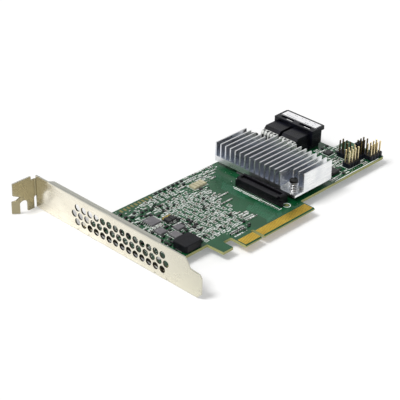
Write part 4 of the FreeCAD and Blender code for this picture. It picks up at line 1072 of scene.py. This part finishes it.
# %% Port wafers
wafer_pile = Pile()
comb_slots, wafer_width = 4, 1.3 * mm
for low, high in solid_boxes("port_combs"):
    pitch = (high.y - low.y) / comb_slots
    for k in range(comb_slots):
        y = low.y + (k + 0.5) * pitch
        y0, y1 = y - wafer_width / 2, y + wafer_width / 2
        upright = (low.x - 0.25 * mm, low.x + 0.4 * mm, y0, y1, low.z + 0.6 * mm, high.z - 1.9 * mm)
        lying = (low.x + 0.9 * mm, high.x - 0.5 * mm, y0, y1, high.z - 0.3 * mm, high.z + 0.12 * mm)
        wafer_pile.block(*upright, 0, 0.05 * mm)
        wafer_pile.block(*lying, 0, 0.05 * mm)
wafer_pile.piece("port_wafers", [port_resin], "port_plastic")

# %% [markdown]
# ## Marks on the label
# The film on the port's roof keeps the place of its print as plain grey dashes inside a dark rim. Both are
# thin closed shapes, so no image is needed.

# %% Label marks
mark_pile = Pile()
label_low, label_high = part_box("port_label")
rim = 0.4 * mm
x0, x1, y0, y1 = label_low.x, label_high.x, label_low.y, label_high.y
outer = [(x0, y0), (x1, y0), (x1, y1), (x0, y1)]
inner = [(x0 + rim, y0 + rim), (x1 - rim, y0 + rim), (x1 - rim, y1 - rim), (x0 + rim, y1 - rim)]
printed_top = label_high.z + 0.015 * mm
mark_pile.loop(outer, inner, label_high.z, printed_top)
for x in (x0 + (x1 - x0) * share for share in (0.28, 0.72)):
    y = y0 + 2.0 * mm
    while y < y1 - 3.4 * mm:
        dash = draw.uniform(0.5, 1.4) * mm
        if draw.random() < 0.45:
            mark_pile.block(x - 0.18 * mm, x + 0.18 * mm, y, y + dash, label_high.z, printed_top, 1)
        y += dash + 0.35 * mm
mark_pile.piece("label_marks", [glaze, marking], "label_film")

# %% [markdown]
# ## Camera, floor and light
# The camera looks down from the bracket's side with a long lens, as a product is shot. The floor is a large
# plain sheet just under the card. To the camera it glows a little, so that it goes white where the light is
# full and keeps the card's shadow where it isn't. Shiny parts see the same white sheet.

# %% Camera
camera_data = bpy.data.cameras.new("camera")
camera_data.sensor_width = 36.0
camera_data.lens = 122.45
camera_data.clip_start = 10 * mm
camera = bpy.data.objects.new("camera", camera_data)
eye = Vector((-381.68, -373.04, 355.19)) * mm
target = Vector((59.99, 46.68, 0)) * mm
roll = math.radians(1.324)
forward = (target - eye).normalized()
level = forward.cross(Vector((0, 0, 1))).normalized()
upward = level.cross(forward)
right = math.cos(roll) * level + math.sin(roll) * upward
top = -math.sin(roll) * level + math.cos(roll) * upward
turned = Matrix((right, top, -forward)).transposed().to_4x4()
camera.matrix_world = Matrix.Translation(eye) @ turned
bpy.context.scene.collection.objects.link(camera)
bpy.context.scene.camera = camera
print("camera distance in mm:", round((target - eye).length / mm))

# %% Floor
floor_height = cad_bounds[0].z - 0.02 * mm
floor_reach = 3.0
floor_mesh = bpy.data.meshes.new("floor")
floor_corners = [(-floor_reach, -floor_reach), (floor_reach, -floor_reach)]
floor_corners += [(floor_reach, floor_reach), (-floor_reach, floor_reach)]
floor_mesh.from_pydata([(x, y, floor_height) for x, y in floor_corners], [], [(0, 1, 2, 3)])
floor = bpy.data.objects.new("floor", floor_mesh)
bpy.context.scene.collection.objects.link(floor)


def seen_directly(tree):
    """1 for rays from the camera and for mirror and clear rays, 0 for the rest."""
    ray = add(tree, "LightPath").node.outputs
    mirrored = add(tree, "Math", [ray["Is Camera Ray"], ray["Is Glossy Ray"]], operation="MAXIMUM")
    return add(tree, "Math", [mirrored, ray["Is Transmission Ray"]], operation="MAXIMUM")


floor_material, floor_tree, _ = new_material("white_sheet")
sheet = add(floor_tree, "BsdfDiffuse", {"Color": "#e6e6e6"})
glow = add(floor_tree, "Emission", {"Color": "#ffffff", "Strength": 0.22})
glowing = add(floor_tree, "AddShader", [sheet, glow])
shown = add(floor_tree, "MixShader", [seen_directly(floor_tree), sheet, glowing])
add(floor_tree, "OutputMaterial", {"Surface": shown})
floor_mesh.materials.append(floor_material)
print("floor height in mm:", round(floor_height / mm, 2))

# %% World and lamps
world = bpy.data.worlds.new("studio")
bpy.context.scene.world = world
world.use_nodes = True
sky_tree = world.node_tree
sky_tree.nodes.clear()
upward_part = add(sky_tree, "SeparateXYZ", [add(sky_tree, "TexCoord", out="Generated")], "Z")
mirrored_sky = add(sky_tree, "MapRange", [upward_part, 0.25, 0.8, 1.0, 0.6])
strength = add(sky_tree, "Mix", {0: seen_directly(sky_tree), 2: 0.4, 3: mirrored_sky})
sky = add(sky_tree, "Background", {"Color": "#ffffff", "Strength": strength})
add(sky_tree, "OutputWorld", {"Surface": sky})


def sun(name, direction, strength, spread):
    """A distant lamp shining along a direction, with a soft edge."""
    data = bpy.data.lights.new(name, "SUN")
    data.energy = strength
    data.angle = math.radians(spread)
    lamp = bpy.data.objects.new(name, data)
    lamp.rotation_euler = Vector(direction).to_track_quat("-Z", "Y").to_euler()
    bpy.context.scene.collection.objects.link(lamp)


sun("key_light", (0.6, -0.25, -1.0), 2.2, 22)
sun("fill_light", (0.8, 0.7, -0.35), 0.5, 40)
bpy.context.scene.view_settings.view_transform = "Standard"
